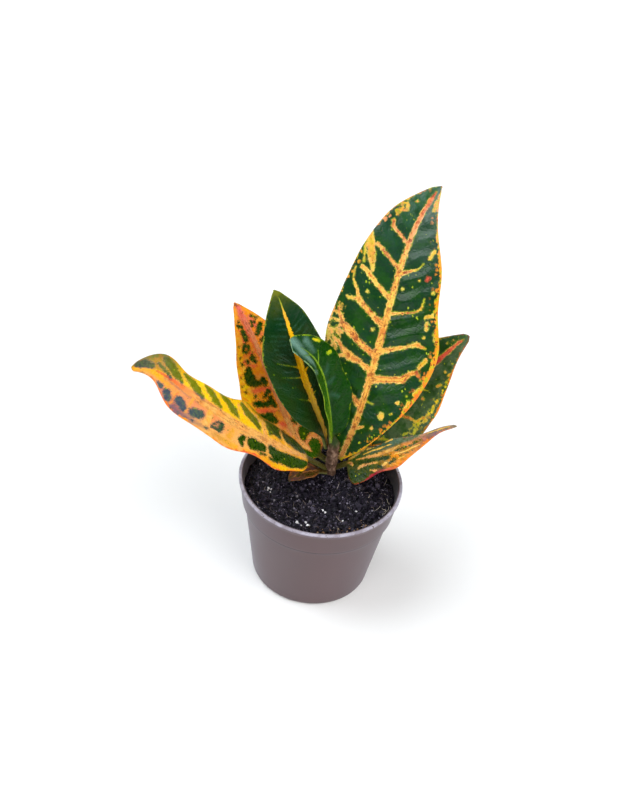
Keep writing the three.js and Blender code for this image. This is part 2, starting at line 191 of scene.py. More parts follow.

# Leaf colours at even stations from foot to tip: one row for the whole width, or one for the left
# and one for the right of the midrib, or two more for the left and right of the blade's outer part.
# The ground lies under the flushes and the pale veins, and the dark blotches lie over them. The
# blue-grey and whitish greens near leaf_tall's tip, over leaf_low_right's far half and on
# leaf_young's tip are painted sheen, and leaf_young's light green left half is painted light
# shining through the blade.
TINTS = {
    "leaf_tall": {
        # The blue-grey greens near the tip are painted sheen.
        "ground": ["deep_green deep_green pine sea_green", "deep_green deep_green pine steel"],
        "pale": ["camel honey honey honey honey salmon coral",
                 "camel honey honey butter butter salmon coral",
                 "butter yellow peach honey honey gold coral", "gold gold gold gold yellow gold gold"],
        "flush_and_glint": ["coral", "scarlet"],
        "margin": ["gold cream cream salmon gold salmon brown",
                   "gold orange tangerine orange orange orange salmon salmon"],
    },
    "leaf_right": {
        "ground": ["leaf_green deep_green deep_green leaf_green",
                   "leaf_green grey_green grey_green grey_green"],
        "pale": ["butter gold scarlet coral", "peach butter scarlet coral", "butter yellow yellow lime",
                 "lime lime yellow lime"],
        "margin": ["gold gold yellow brown", "gold orange olive orange orange brown"],
    },
    "leaf_low_right": {
        # The blue-grey greens on the left, far half are painted sheen over the leaf's green.
        "ground": ["deep_green leaf_green sea_green sea_green grey_green grey_green tan",
                   "deep_green deep_green leaf_green orange amber mauve tan"],
        "pale": ["ochre butter butter butter tan", "olive salmon butter gold tan"],
        "dark": ["deep_green grey_green sea_green", "deep_green deep_green olive"],
        "flush_and_glint": ["salmon", "brown sienna crimson scarlet mauve"],
        "margin": ["olive tan sea_green tan tan", "brown crimson crimson orange amber tan"],
    },
    "leaf_centre": {
        "ground": ["leaf_green moss moss moss moss moss moss olive",
                   "olive leaf_green moss moss moss moss moss olive"],
        "pale": ["camel butter gold gold honey"],
        "flush_and_glint": ["sea_green"],
        "margin": ["leaf_green leaf_green olive"],
    },
    "leaf_back_left": {
        "ground": ["brown salmon orange orange orange orange", "brown salmon orange orange orange",
                   "brown peach gold yellow gold orange", "brown salmon gold gold orange"],
        "pale": ["peach peach salmon salmon pink"],
        "dark": ["leaf_green deep_green deep_green", "leaf_green deep_green"],
        "flush_and_glint": ["salmon scarlet scarlet scarlet pink", "scarlet scarlet pink"],
        "margin": ["amber"],
    },
    "leaf_low_left": {
        "ground": ["brown gold gold peach peach salmon salmon gold gold",
                   "brown ochre gold yellow yellow yellow yellow ochre olive",
                   "brown gold yellow gold peach peach mauve salmon gold",
                   "brown gold gold olive yellow yellow yellow olive olive"],
        "pale": ["brown peach peach peach peach coral gold", "brown butter peach peach salmon coral gold"],
        "dark": ["leaf_green deep_green deep_green slate ink", "deep_green deep_green olive olive ink"],
        "flush_and_glint": ["gold gold gold mauve orange", "olive gold gold orange"],
        "margin": ["brown orange scarlet coral orange coral olive", "gold brown olive gold olive"],
    },
    "leaf_young": {
        # The light greens on the left half are painted light shining through the blade, and the teal near
        # the tip is painted sheen.
        "ground": ["light_green light_green young_green leaf_green pine pine",
                   "deep_green deep_green deep_green deep_green pine"],
        "pale": ["light_green light_green light_green bloom", "light_green light_green light_green bloom",
                 "lime", "lime lime yellow"],
        "flush_and_glint": ["bloom", "sea_green sea_green sea_green bloom"],
        "margin": ["light_green light_green bloom", "leaf_green leaf_green light_green"],
    },
    "leaf_small": {
        "ground": ["brown brown mauve", "brown mauve brown"],
        "pale": ["salmon", "peach"],
        "dark": ["deep_green", "leaf_green"],
        "flush_and_glint": ["leaf_green", "gold"],
        "margin": ["brown salmon brown"],
    },
}

# What is painted on a leaf. A stroke is a row of points (s, a, width): "veins" are pale and lie in
# a crease, "spots" are pale and flat, "laces" hold a pale network, "blotches" are dark and
# "flushes" are soft patches of the ground, which on leaf_centre and leaf_young are painted glints
# and sheen. "creases" are the starts of plain side veins on the left and the right, "lean" is how
# far these run forward for each millimetre out, and "pillow" is how high the blade rises between
# creases and how far from them. "margin" is the width of the coloured margin along the left and the
# right. "ragged" is the unevenness of borders, "soft" that of the flushes' edges, "gloss" the shine
# and its roughness, and "ribs" the distance apart and height of fine ribs. "dim" is the share of
# brown painted over the whole leaf as shade, "stalk" the share of brown on the stalk, "freckles" the
# share of rusty dots, "edging" that of dots near the margin, and "thin" the colour of thin veins.
# The rest are a colour and its share: "clouds" (and their size), "speck" and "halo" on the ground,
# "edge" and "streak" on the veins, "rim" on the margin, "ring" round blotches, "dark_fleck" on them.
USUAL_MARKS = {
    "spots": [], "laces": [], "blotches": [], "flushes_and_glints": [], "ragged": 1.7, "soft": 0.5,
    "gloss": (0.3, 0.3), "ribs": (1.8, 0.7), "dim": 0, "stalk": 1, "freckles": 0.5, "edging": 0,
}


def glint_strokes(starts, near, forward, far):
    """Hair-thin painted glints across from near to far, each running forward from its own start."""
    return [[(s, near, 0.1), (s + forward, far, 0.1)] for s in starts]


MARKS = {
    "leaf_tall": {
        "veins": [
            [(0, -0.3, 2), (10, -0.6, 2.3), (30, -0.6, 2.5), (52, -0.6, 2.5), (70, -0.4, 2.1),
             (90, 0, 1.8), (101, 0.1, 1.7), (104, 0.2, 0.6)], [(21.6, 0.6, 2.4), (24.8, 4.6, 0.8)],
            [(34.6, 0, 2.6), (36.8, 4.3, 1.6), (38, 9, 3.4), (40, 11.8, 1.5), (42, 13.6, 1.5),
             (43, 15.8, 1.1)],
            [(40.5, 0, 2.2), (43.6, 6.4, 2.2), (46.8, 11, 3.2), (49, 14.4, 1.8), (53.6, 17, 0.8)],
            [(51.8, 0, 2.6), (55, 5.7, 1.8), (58, 10.4, 1.9), (60.7, 11.8, 1), (64.6, 14.6, 0.7)],
            [(61.6, 0, 2), (65, 5.7, 1.5), (68.4, 10.4, 1.7), (69.6, 12.9, 1.3)],
            [(72.6, 0, 1.6), (75.7, 5, 1.2), (77.5, 8.2, 1.3), (78.6, 10.4, 1.2)],
            [(82, 0, 1.2), (85, 5, 1), (86, 7.5, 1.4), (87.9, 8.2, 1.3)],
            [(31.6, -1, 3.6), (32.8, -4, 2.6), (33.8, -8, 2.2), (35, -12.1, 2.6), (37.6, -13.9, 1.6),
             (38.9, -16.4, 1.4), (36.8, -18.6, 0.7)],
            [(42, -0.6, 3.2), (43.2, -3, 1.9), (44.6, -6.4, 1.5), (46.8, -10.7, 1), (48.2, -13.6, 1.7),
             (47.7, -17.1, 0.6)],
            [(56.2, -1, 1.3), (57.5, -5, 0.9), (59.1, -10, 0.6), (60.7, -11.8, 0.8), (64.6, -12.1, 0.4)],
            [(71, -0.6, 2), (72.9, -3.9, 1), (74.6, -6.8, 0.6), (77, -8, 0.3)],
            [(12.8, -1, 1.6), (14.6, -3.8, 0.8)],
        ],
        "spots": [
            [(38, 10, 2), (36.8, 13, 0.9)], [(58.2, 11, 1.4), (58.4, 15, 1)],
            [(69.4, 8.9, 1), (73.6, 10.6, 2.7), (77.1, 12.3, 3), (80.8, 13.8, 1.8)],
            [(71.4, 12.9, 0.6), (75.7, 13.9, 0.8), (79.3, 14.3, 0.7)], [(65.4, 15, 0.6), (69, 15.1, 0.6)],
            [(61.8, 8.4, 1.1)], [(49.5, 3.1, 1.2)],
            [(91.4, 9.3, 0.6), (92.5, 6.8, 0.9), (93.6, 5.7, 1.1), (95.4, 6.8, 0.8), (94.6, 8.9, 0.8)],
            [(96.4, 7.9, 0.8), (98.8, 6.6, 0.9)], [(97.6, 3.9, 0.9)], [(15.4, -7.1, 1.3)],
            [(23.6, -2, 0.6), (23.6, -4.6, 0.5)], [(20.7, -8.9, 2.4)], [(22.8, -12.4, 0.7)],
            [(26.8, -13, 1.3)], [(25.4, -16.2, 1), (28.3, -16.8, 1)], [(30, -15.4, 0.6)],
            [(31.4, -18, 1.6), (33.6, -19, 1.4)], [(36.2, -19.8, 1.2)],
            [(40.6, -16.6, 1.1), (43.6, -18.4, 1.6)], [(51.4, -15.5, 1)],
            [(54.2, -15.7, 1.2), (56.6, -15.3, 1.2)], [(58.2, -14.2, 1.1), (59.6, -16.4, 1.3)],
            [(51.4, -19.6, 1.2), (54, -19, 1)], [(63.4, -12.2, 0.6)], [(67.5, -14.5, 1.1)],
            [(66, -3.4, 1.1)], [(70.6, -8.4, 0.8)], [(79.4, -9.5, 1.2), (82.4, -10.3, 1.3)],
            [(97, -3.4, 1), (100.6, -2.2, 1.4)],
        ],
        "laces": [[(40.5, 16, 4), (47, 16.4, 7), (54, 17.4, 3)], [(91.6, 7.8, 1.8), (95, 7, 1.6)]],
        "flushes_and_glints": [[(72, -11.3, 1.6)]],
        "creases": ([8, 15, 29, 46, 67, 90, 97], [7, 19, 37, 49.5, 63.5, 79, 87, 94]),
        "gloss": (0.45, 0.36), "lean": 0.55, "pillow": (1.7, 3.4),
        "margin": ([0.2, 0.3, 0.4, 0.3, 0, 0, 0.4, 0.4], [0.4, 0.4, 1, 1.6, 1.3, 0.8, 0.9, 0.5, 0.4]),
        "rim": ("lime", 0.7), "speck": ("lime", 0.35), "edging": 0.7, "ribs": (4, 0.2),
        "clouds": [("leaf_green", 0.5, 5.5), ("pine", 0.8, 7), ("leaf_green", 0.25, 0.9)],
        "halo": ("lime", 0.6), "edge": ("cream", 0.5), "thin": "lime", "streak": ("amber", 0.85),
        "freckles": 0.85, "stalk": 0.4,
    },
    "leaf_right": {
        "veins": [
            [(0, 0, 1.8), (30, -0.4, 2.4), (48, -0.7, 2.6), (56, -0.5, 2), (63, 0, 1.2), (64.5, 0, 0.4)],
            [(17, 0, 1.2), (20, 4.5, 1.3), (23.5, 9, 1)], [(29, 0, 1.3), (32.5, 5, 1.3), (37, 10.5, 0.9)],
            [(40, 0, 1.1), (43.5, 4.5, 0.9), (47, 8, 0.6)],
            [(13, -1, 1.1), (17, -8, 0.9), (19.4, -11, 0.8), (20.6, -13, 0.5)],
            [(24.5, -1, 1.1), (28, -6, 1), (30.6, -10.4, 1), (30.8, -13, 0.9), (34.4, -14, 1.2)],
            [(38, -1, 0.9), (41, -5, 0.7), (42.4, -7.4, 0.4)],
        ],
        "spots": [
            [(29.4, -14.8, 0.9), (27.6, -15.6, 0.9)], [(39, -8.5, 1)], [(42, -11.5, 0.9)],
            [(46.6, -8.9, 1.3), (47.6, -9.2, 0.9)], [(48.5, -11, 0.8)], [(40, -13.5, 1), (38, -14.5, 0.8)],
            [(52, -6.5, 0.9)], [(53, -9, 0.8)], [(56, -5.5, 0.7)], [(59, 2.4, 0.8)], [(61.6, 1.9, 0.8)],
            [(35, 4, 1)], [(25, 5.5, 0.9)],
        ],
        "laces": [
            [(18, -12.6, 0.6), (35, -14.8, 1), (50, -10.8, 1), (58, -6, 0.6)],
            [(30, 13, 1.4), (45, 9, 1.3)],
        ],
        "creases": ([9, 48, 55], [8, 31.5, 45, 51.5, 57]),
        "gloss": (0.4, 0.34), "lean": 0.5, "pillow": (0.9, 2.6),
        "margin": ([0.5, 0.5, 0.5, 0.3], [0.2, 0.4, 0.5, 0.5, 0.5, 0.5, 0.4]), "rim": ("rust", 0.6),
        "speck": ("lime", 0.55), "edging": 0.5, "ribs": (2, 0.7),
        "clouds": [("leaf_green", 0.7, 3.5), ("deep_green", 0.5, 1.6), ("grey_green", 0.4, 6)],
        "halo": ("lime", 0.6), "edge": ("peach", 0.8), "thin": "lime", "streak": ("scarlet", 0.5),
        "freckles": 0.8, "stalk": 0.8,
    },
    "leaf_low_right": {
        "veins": [
            [(9, 0.1, 0.5), (14.5, -0.3, 1.2), (18, -0.8, 1.5), (21, -0.7, 1.2), (24, -0.6, 1),
             (27, -0.1, 0.3)], [(5, 1.2, 0.9), (9, 2.7, 1.7), (12, 3.6, 1), (14.4, 4.1, 0.4)],
        ],
        "spots": [
            [(4.8, 0, 0.8), (7, -1, 0.9), (7.4, -2.2, 0.5)], [(13.5, 2.9, 0.5), (16.5, 3.1, 0.6)],
            [(22, 3.1, 0.8), (24.6, 3, 0.6)],
            [(10, -3.6, 1), (13, -2.4, 1.6), (16, -3.3, 1), (17.4, -3.6, 0.7)],
            [(14.5, -5.6, 0.8), (16.4, -6.6, 1)], [(19.4, -5.4, 1), (21.4, -4.8, 0.6)],
            [(24.4, -2.8, 0.4), (29.4, -3, 0.7), (34, -2.4, 0.3)], [(23.6, -4.6, 0.35), (28, -4.8, 0.4)],
            [(38, 0.4, 0.4), (46, 0.5, 0.6)], [(12, 1.4, 0.4), (19, 1.6, 0.7), (24, 1.3, 0.3)],
        ],
        "blotches": [
            [(6.4, -4.4, 3), (8.6, -7, 3), (12, -6.8, 2)], [(17.6, -5.2, 1.6), (19, -6.6, 0.9)],
            [(10, -1.4, 1.2), (15, -2.2, 0.9), (21.4, -2.8, 1.7), (22.4, -3, 0.9)],
            [(21.6, -5.6, 1), (23.6, -4.4, 1.2)], [(25, -1.5, 0.5), (30, -1.7, 0.6), (35, -1.1, 0.3)],
            [(26, -3.9, 0.3), (31, -3.7, 0.4)],
        ],
        "flushes_and_glints": [
            [(7.4, -4.8, 1.4), (9, -5.8, 1)], [(17, -7.3, 0.6), (21.6, -7.4, 0.5)],
            [(33, 0.4, 0.1), (39, 0.8, 0.4)], [(16.4, -6.6, 1.4), (19.6, -6, 1)],
        ],
        "creases": ([10, 17, 24, 31], [10, 17, 24, 30]),
        "ragged": 1.9, "soft": 0.6, "gloss": (0.35, 0.3), "dim": 0.15, "lean": 1.4, "pillow": (0.4, 1.8),
        "margin": ([0.1, 0.2, 0.2, 0.4], [0.1, 0.3, 0.6, 0.5, 0.3, 0.3]), "rim": ("coral", 0.4),
        "speck": ("lime", 0.2), "edging": 0.2, "ribs": (1.8, 0.8),
        "clouds": [("brown", 0.4, 2.4), ("olive", 0.2, 1.1)], "halo": ("olive", 0.5),
        "edge": ("cream", 0.5), "thin": "butter", "streak": ("gold", 0.5), "ring": ("olive", 0.4),
        "dark_fleck": ("leaf_green", 0.6), "stalk": 0.9,
    },
    "leaf_centre": {
        "veins": [
            [(0, 0, 1.8), (6, -0.8, 2), (14, -0.1, 2.9), (24, 0.2, 3.1), (33, 0, 2.8), (46, -0.6, 1.7),
             (54, -0.7, 0.9), (60.5, -0.7, 0.2)], [(32.4, -1, 1.4), (32.8, -2.8, 0.5)],
            [(21, 1, 0.8), (22.6, 3.4, 0.35), (26.2, 8, 0.25)],
            [(30.6, 1, 0.7), (31.8, 3.6, 0.4), (35, 9.4, 0.25)],
            [(34.6, 1, 0.7), (36.4, 3.6, 0.45), (40, 9, 0.3)], [(22.4, -1, 0.9), (23, -2.8, 0.3)],
            [(41, -1, 0.6), (43, -3.4, 0.2)],
        ],
        "spots": [[(36, 9.2, 0.4)], [(29.6, 6, 0.3)]],
        # Painted glints: light lines across the upper blade.
        "flushes_and_glints": glint_strokes((31, 33.4, 36, 38, 40, 41.8, 43.4, 45, 46.8), 1.6, 2.8, 8)
        + glint_strokes((37, 39.6, 42, 44, 46.4, 48.4), -1.6, 2.6, -7) + glint_strokes((49, 51, 53), 0.4, 1.2, 3.4),
        "creases": ([7, 11.5, 16, 26, 41, 45.5, 50, 54.5], [6.5, 11, 15.5, 27.5, 37, 46, 50.5, 55]),
        "ragged": 1, "gloss": (0.4, 0.32), "lean": 1.1, "pillow": (0.8, 2.2),
        "margin": ([-0.4, -0.2, 0.3], [-0.4, -0.2, 0.3]), "rim": ("lime", 0.3),
        "speck": ("light_green", 0.03), "ribs": (1.5, 1.1),
        "clouds": [("deep_green", 0.4, 6), ("pine", 0.5, 9)], "halo": ("leaf_green", 0.7),
        "edge": ("gold", 0.5), "thin": "light_green", "streak": ("yellow", 0.6), "freckles": 0.1,
        "stalk": 0.6,
    },
    "leaf_back_left": {
        "veins": [
            [(0, 0, 1.8), (9, 2, 2), (16, 1.8, 2.6), (26, 0.9, 2.6), (40, 0.7, 2.1), (52, 0.6, 1.9),
             (60, 0.4, 2.6), (66.5, 0, 2)], [(16, 1.6, 1.2), (16.6, -2.6, 0.8)],
            [(9.4, 2.4, 1), (9.4, -2.6, 1.2), (5, -6.6, 1.3)],
        ],
        "blotches": [
            [(4.4, 3.4, 4.4), (8.6, 5.2, 3), (13, 6.2, 4), (17.4, 7.2, 3)],
            [(18.4, 10, 2), (20.6, 10.8, 3.4), (22, 9, 2.4)],
            [(22.6, 6.4, 2.4), (24.4, 8, 3.8), (26, 10.6, 1.8)], [(27.2, 3.4, 1.8), (30.4, 4.2, 2)],
            [(28.6, 4.2, 2), (29, 7, 1.9), (30.4, 9.6, 2.5), (31, 11.2, 1.9)],
            [(31.8, 6.4, 1.4), (32.8, 4, 2.2)], [(35.8, 3.6, 2.1), (37.6, 4.2, 2.4)],
            [(36.8, 5.6, 2), (37.8, 8, 2.8), (39.8, 10, 3), (42, 9.6, 3), (43.6, 8, 2.1)],
            [(39.6, 8, 2.2), (42, 8.2, 2.2)], [(45, 4, 1.7), (46.8, 4.6, 2.3)], [(46, 7, 1.6)],
            [(49.6, 6.3, 1.3), (50.8, 7.3, 1.4), (52, 5.9, 1.6), (51.2, 4.4, 1.6), (49.8, 4.9, 1)],
            [(54, 3.8, 2.4), (56.6, 4, 2.2)], [(58.6, 3.2, 1.3), (59.6, 4.4, 1.3)], [(60.8, 3.4, 1)],
            [(66.8, 0.6, 1.2)], [(46.2, 9.8, 1.4)], [(36.4, 13, 1)], [(39, 13.6, 0.7)], [(42, 12.6, 0.9)],
            [(33.6, 9.8, 1.2)], [(48.6, 9.4, 0.8)], [(52.6, 8.4, 0.7)],
            [(50.6, -1.8, 1.4), (51.2, -3.4, 1.3)],
            [(53.6, -1.6, 1.4), (55, -3.2, 2.5), (56.2, -4.8, 1.6)],
            [(57, -1.2, 0.9), (58.4, -1.6, 1), (57.8, -2.8, 0.9)], [(59, -4, 1.1), (60.2, -2.6, 0.9)],
            [(4, 0.2, 4), (6.4, -2, 5), (6.2, -3.6, 2.4)],
            [(11.4, -0.4, 3), (13.4, -2, 4.4), (12.4, -5.4, 3.4)],
            [(19, -1.8, 3.4), (21, -5, 5.4), (20, -8.8, 4.4)],
            [(27.4, -2.6, 3), (29, -6, 4.8), (28.4, -10.4, 3.4)],
            [(35.4, -2.4, 2.6), (37, -6, 4.2), (37.4, -9.6, 2.4)],
            [(43.6, -2.4, 2.2), (45, -5.4, 3.2), (44.6, -8, 1.8)],
        ],
        "flushes_and_glints": [
            [(19.6, 3.4, 2), (20.4, 5, 1.6)], [(25.6, 5, 1), (27, 8, 1.8), (28.4, 11.4, 1.6)],
            [(33.6, 3, 2), (35, 7, 2), (35.4, 9.6, 1.4)], [(43.4, 4.4, 1), (45, 8, 1.2), (46.6, 8.6, 1.2)],
            [(48.2, 3, 1), (48.6, 7, 1)], [(44, 1.5, 1), (52, 1.7, 1.8), (56, 1.6, 2.2), (63, 0.6, 3.2)],
            [(53, 5.4, 0.8), (57.6, 4.6, 1)], [(53, -3, 1), (60, -2, 1.6)], [(10, 0, 1), (8, -4, 1)],
        ],
        "creases": ([7, 14, 21, 26.6, 34.6, 44.4, 52.6, 58], [9, 17, 24, 32, 40.6, 48.6, 56]),
        "soft": 0.9, "lean": 0.35, "pillow": (0.6, 2.4),
        "margin": ([0.1, 0.2, 0.2, 0.2], [0.1, 0.2, 0.2, 0.2]), "rim": ("yellow", 0.5),
        "speck": ("olive", 0.5),
        "clouds": [("salmon", 0.4, 4), ("tangerine", 0.6, 1.5), ("gold", 0.5, 2.6)],
        "halo": ("coral", 0.3), "edge": ("peach", 0.2), "thin": "peach", "streak": ("scarlet", 0.5),
        "ring": ("rust", 0.5), "dark_fleck": ("olive", 0.35),
    },
    "leaf_low_left": {
        "veins": [
            [(0, 0, 1.6), (11, 0, 1.8), (20, 1.2, 2.4), (30, 1.8, 3), (45, 2, 3.6), (60, 1.6, 3),
             (70, 1.2, 1.8), (80, 0.2, 0.6)],
        ],
        "spots": [
            [(22.6, 0.4, 1), (24, -4.6, 1.2)], [(31.8, 2, 1.4), (33.4, 7.8, 1.8)],
            [(33, 1, 2.4), (34, -4.4, 1.8), (33.6, -7, 1)], [(42, 4, 1.2), (42.2, 8, 1)],
            [(57.4, 3, 2), (57.6, 8, 2.2)], [(64.4, 3, 1), (64.8, 8, 1)], [(69.8, 4, 0.9), (70, 8.6, 0.8)],
            [(27, 9.6, 0.7), (25.6, 7, 0.4)], [(22, 9, 0.7), (20.8, 6, 0.4)],
            [(17, 7.6, 0.7), (16.2, 5, 0.4)],
        ],
        "laces": [[(14, 5, 3), (22, 7.4, 4), (31, 8, 3)], [(26, -4, 3), (38, -5, 6), (46, -6, 3)]],
        "blotches": [
            [(12.6, 3.4, 2.4), (16, 4.8, 4.2), (22, 6.2, 5.2), (28, 6.4, 5.2), (31, 5.4, 4.2)],
            [(29, 8.6, 2), (32, 9, 1.4)], [(34.4, 8.6, 0.9), (36.8, 8.9, 1)],
            [(35.8, 6, 4), (39.6, 6.2, 4.8)], [(43.6, 5.4, 2), (44.6, 7, 2.2), (43.8, 8.6, 1.3)],
            [(52.4, 5, 1.7), (52.6, 8, 1.8), (55.4, 8, 1.2)], [(53.6, 5, 1.2), (55, 6.6, 0.8)],
            [(60.4, 6.2, 3.4), (62.2, 6.8, 3.4)], [(66, 7.4, 2.6), (68, 6, 3.4)],
            [(71.4, 7.6, 2.3), (73, 5.8, 2.7)], [(75.8, 4.8, 1.9), (77.6, 4, 1)], [(57, 9.6, 1)],
            [(61.6, 9.8, 0.9)], [(64, 10, 1.2)], [(66.4, 10, 0.9)], [(69, 9.9, 1.2)],
            [(13, -3.2, 4.6), (17, -3.8, 6.8), (20.6, -4.2, 6), (22, -6.4, 2.6)],
            [(25.6, -3, 2), (27.4, -4.8, 4.8), (30, -4.2, 4.6), (31, -1.8, 1.8)],
            [(25, -6.4, 2), (31, -7.2, 2)],
            [(36.4, -2.4, 2.6), (38.4, -4.6, 4.6), (42, -6, 4.6), (45, -7.6, 2.4)],
            [(47, -1.9, 1.8), (49.4, -3.3, 4.2), (53, -5.2, 2.6), (56, -6, 1)],
            [(54.6, -0.8, 1.4), (57.6, -2.2, 3), (60.6, -3.6, 2.4), (63, -4.4, 1)],
            [(61.8, 0.2, 1.2), (64.8, -1.1, 2.6), (67.8, -2.4, 2.4), (71, -3.4, 1.2)],
            [(70.6, -0.4, 1.4), (73.6, -1.8, 2.6), (76.8, -3.6, 3), (79, -4.8, 2)],
            [(74.6, 0.1, 0.9), (77, -0.9, 1.1), (80.4, -2.4, 1)],
            [(82.4, -1, 2.4), (85, -1.2, 3.4), (87.4, -0.7, 2.4)],
        ],
        "flushes_and_glints": [
            [(46, 10.6, 2), (54, 10.4, 2)], [(56, 9.8, 1), (70, 9.8, 1.2)],
            [(62, 2.6, 1), (70, 2, 1.2), (76, 1.4, 1)], [(48, 5, 1.6), (49, 8, 2)],
            [(39, 9.9, 0.8), (43, 10, 1)], [(36, -8, 2), (46, -9, 2)], [(19, -0.2, 1), (30, 0.2, 1.4)],
        ],
        "creases": ([14, 24, 33, 42, 48.6, 57, 64.6, 74], [14, 24, 34, 44, 53, 61, 69, 78]),
        "ragged": 1.5, "soft": 0.8, "gloss": (0.2, 0.3), "dim": 0.12, "lean": 0.85, "pillow": (0.5, 2.2),
        "margin": ([0.3, 0.4, 0.5, 0.3, 0.4, 0.3], [-0.2, 0, 0, -0.2, 0.1]), "rim": ("orange", 0.5),
        "speck": ("olive", 0.4), "clouds": [("orange", 0.16, 4.5), ("coral", 0.25, 0.7)],
        "halo": ("gold", 0.4), "edge": ("peach", 0.3), "thin": "gold", "streak": ("tangerine", 0.35),
        "ring": ("mauve", 0.4), "dark_fleck": ("light_green", 0.22), "freckles": 0.45,
    },
    "leaf_young": {
        "veins": [
            [(4, -0.2, 0.3), (20, -0.5, 0.5), (27, -0.7, 0.6), (36, -0.4, 0.6), (44, 1, 0.3)],
            [(33, -0.6, 0.5), (37, -3.6, 0.3)], [(38, 0, 0.5), (42, 3.6, 0.3)],
        ],
        "spots": [[(33.4, -5.8, 1.3), (33, -7.2, 1.1)], [(41, -4.6, 0.6), (38.4, -6, 1.2)]],
        # Painted sheen on the curled tip, and painted glints by the side veins.
        "flushes_and_glints": [
            [(35, 2.6, 0.6), (39, 3, 2.6), (44, 2, 4), (48, 0.4, 3)], [(38, -1.8, 1), (43, -2.4, 2)],
            [(19, -2, 0.8), (17.6, -4, 0.5)], [(24, -2, 0.9), (24.6, -4, 0.5)],
            [(28, -1.8, 0.9), (30, -3.6, 0.6)], [(33, 4, 0.6), (35, 6, 0.8)],
        ],
        "creases": ([8, 13, 18, 23, 28, 33, 38], [6, 11, 16, 21, 26, 31, 36, 41]),
        "ragged": 0.8, "soft": 1.4, "gloss": (0.2, 0.3), "lean": 0.9, "pillow": (0.6, 2),
        "margin": ([0.25, 0.25, 0.1], [0, 0.05, 0.2]), "rim": ("lime", 0.3),
        "speck": ("light_green", 0.03), "ribs": (1.8, 0.9),
        "clouds": [("deep_green", 0.4, 4), ("leaf_green", 0.3, 1.4)], "halo": ("young_green", 0.6),
        "edge": ("light_green", 0.2), "thin": "light_green", "streak": ("light_green", 0.5), "freckles": 0,
        "stalk": 0.3,
    },
    "leaf_small": {
        "veins": [[(0, 0, 1), (8, 0, 0.8), (13, 0, 0.3)]],
        "blotches": [
            [(4, -3.6, 1.2), (8, -3.8, 0.8)], [(9, -0.6, 1.4), (11, 0.8, 1)], [(5, 2, 1.8), (8, 2.4, 1.4)],
        ],
        "flushes_and_glints": [[(6, -2, 1.4), (10, -2, 1.2)]],
        "creases": ([5, 8, 11], [4, 7, 10]),
        "dim": 0.62, "lean": 0.6, "pillow": (0.3, 1.6), "margin": ([0.4], [0.5, 1, 0.6]),
        "rim": ("coral", 0.5), "speck": ("olive", 0.2), "edging": 0.5, "ribs": (1.5, 0.7),
        "clouds": [("leaf_green", 0.6, 4.5), ("rust", 0.4, 1)], "halo": ("olive", 0.3),
        "edge": ("peach", 0.4), "thin": "peach", "streak": ("coral", 0.4), "ring": ("salmon", 0.5),
        "dark_fleck": ("olive", 0.5), "freckles": 0.6,
    },
}


def marks_of(name):
    """A leaf's marks, over the usual ones."""
    return {**USUAL_MARKS, **MARKS[name]}


# Shapes

def new_object(name, data):
    """An object of the scene that shows the given data."""
    made = bpy.data.objects.new(name, data)
    bpy.context.scene.collection.objects.link(made)
    return made


def make_mesh(name, points, faces, smooth=True):
    """A piece from points in millimetres and a list of face tuples, placed by its mesh alone."""
    mesh = bpy.data.meshes.new(name)
    mesh.from_pydata((np.asarray(points) * MM).tolist(), [], faces)
    mesh.validate()
    mesh.polygons.foreach_set("use_smooth", np.full(len(mesh.polygons), smooth))
    return new_object(name, mesh)


def point_attribute(piece, name, kind, values):
    """Writes one value for each vertex: kind FLOAT, FLOAT_VECTOR or FLOAT_COLOR."""
    field = {"FLOAT": "value", "FLOAT_VECTOR": "vector", "FLOAT_COLOR": "color"}[kind]
    attribute = piece.data.attributes.new(name, kind, "POINT")
    attribute.data.foreach_set(field, np.ascontiguousarray(values, np.float32).ravel())


def grid_faces(rows, columns):
    """The quads of a grid of rows by columns, joined round from the last column to the first."""
    row = np.arange(rows - 1)[:, None]
    column = np.arange(columns)[None, :]
    after = (column + 1) % columns
    corners = [row * columns + column, row * columns + after,
               (row + 1) * columns + after, (row + 1) * columns + column]
    return np.stack(np.broadcast_arrays(*corners), -1).reshape(-1, 4)


def along(stations, t):
    """A smooth value through evenly spaced stations: the uniform Catmull-Rom cubic on t = 0..1,
    with each end station reflected so that the curve runs straight out."""
    s = np.asarray(stations, float)
    if len(s) == 1:
        return np.full(np.shape(t), s[0])
    s = np.concatenate([[2 * s[0] - s[1]], s, [2 * s[-1] - s[-2]]])
    x = np.clip(t, 0, 1) * (len(s) - 3)
    i = np.minimum(x.astype(int), len(s) - 4)
    f = x - i
    a, b, c, d = s[i], s[i + 1], s[i + 2], s[i + 3]
    return b + 0.5 * f * (c - a + f * (2 * a - 5 * b + 4 * c - d + f * (3 * (b - c) + d - a)))


def leaf_axes(leaf, u):
    """Forward, left and up at u along the midrib: forward from the rise and the heading, left
    level and square to it, and both sides turned about forward by the roll."""
    rise = np.radians(along(leaf["rise"], u))
    heading = np.radians(along(leaf["heading"], u))
    roll = np.radians(along(leaf["roll"], u))[..., None]
    level = np.cos(rise)
    forward = np.stack([level * np.cos(heading), level * np.sin(heading), np.sin(rise)], -1)
    left = np.stack([-np.sin(heading), np.cos(heading), 0 * heading], -1)
    up = np.cross(forward, left)
    turned_left = np.cos(roll) * left + np.sin(roll) * up
    return forward, turned_left, np.cos(roll) * up - np.sin(roll) * left


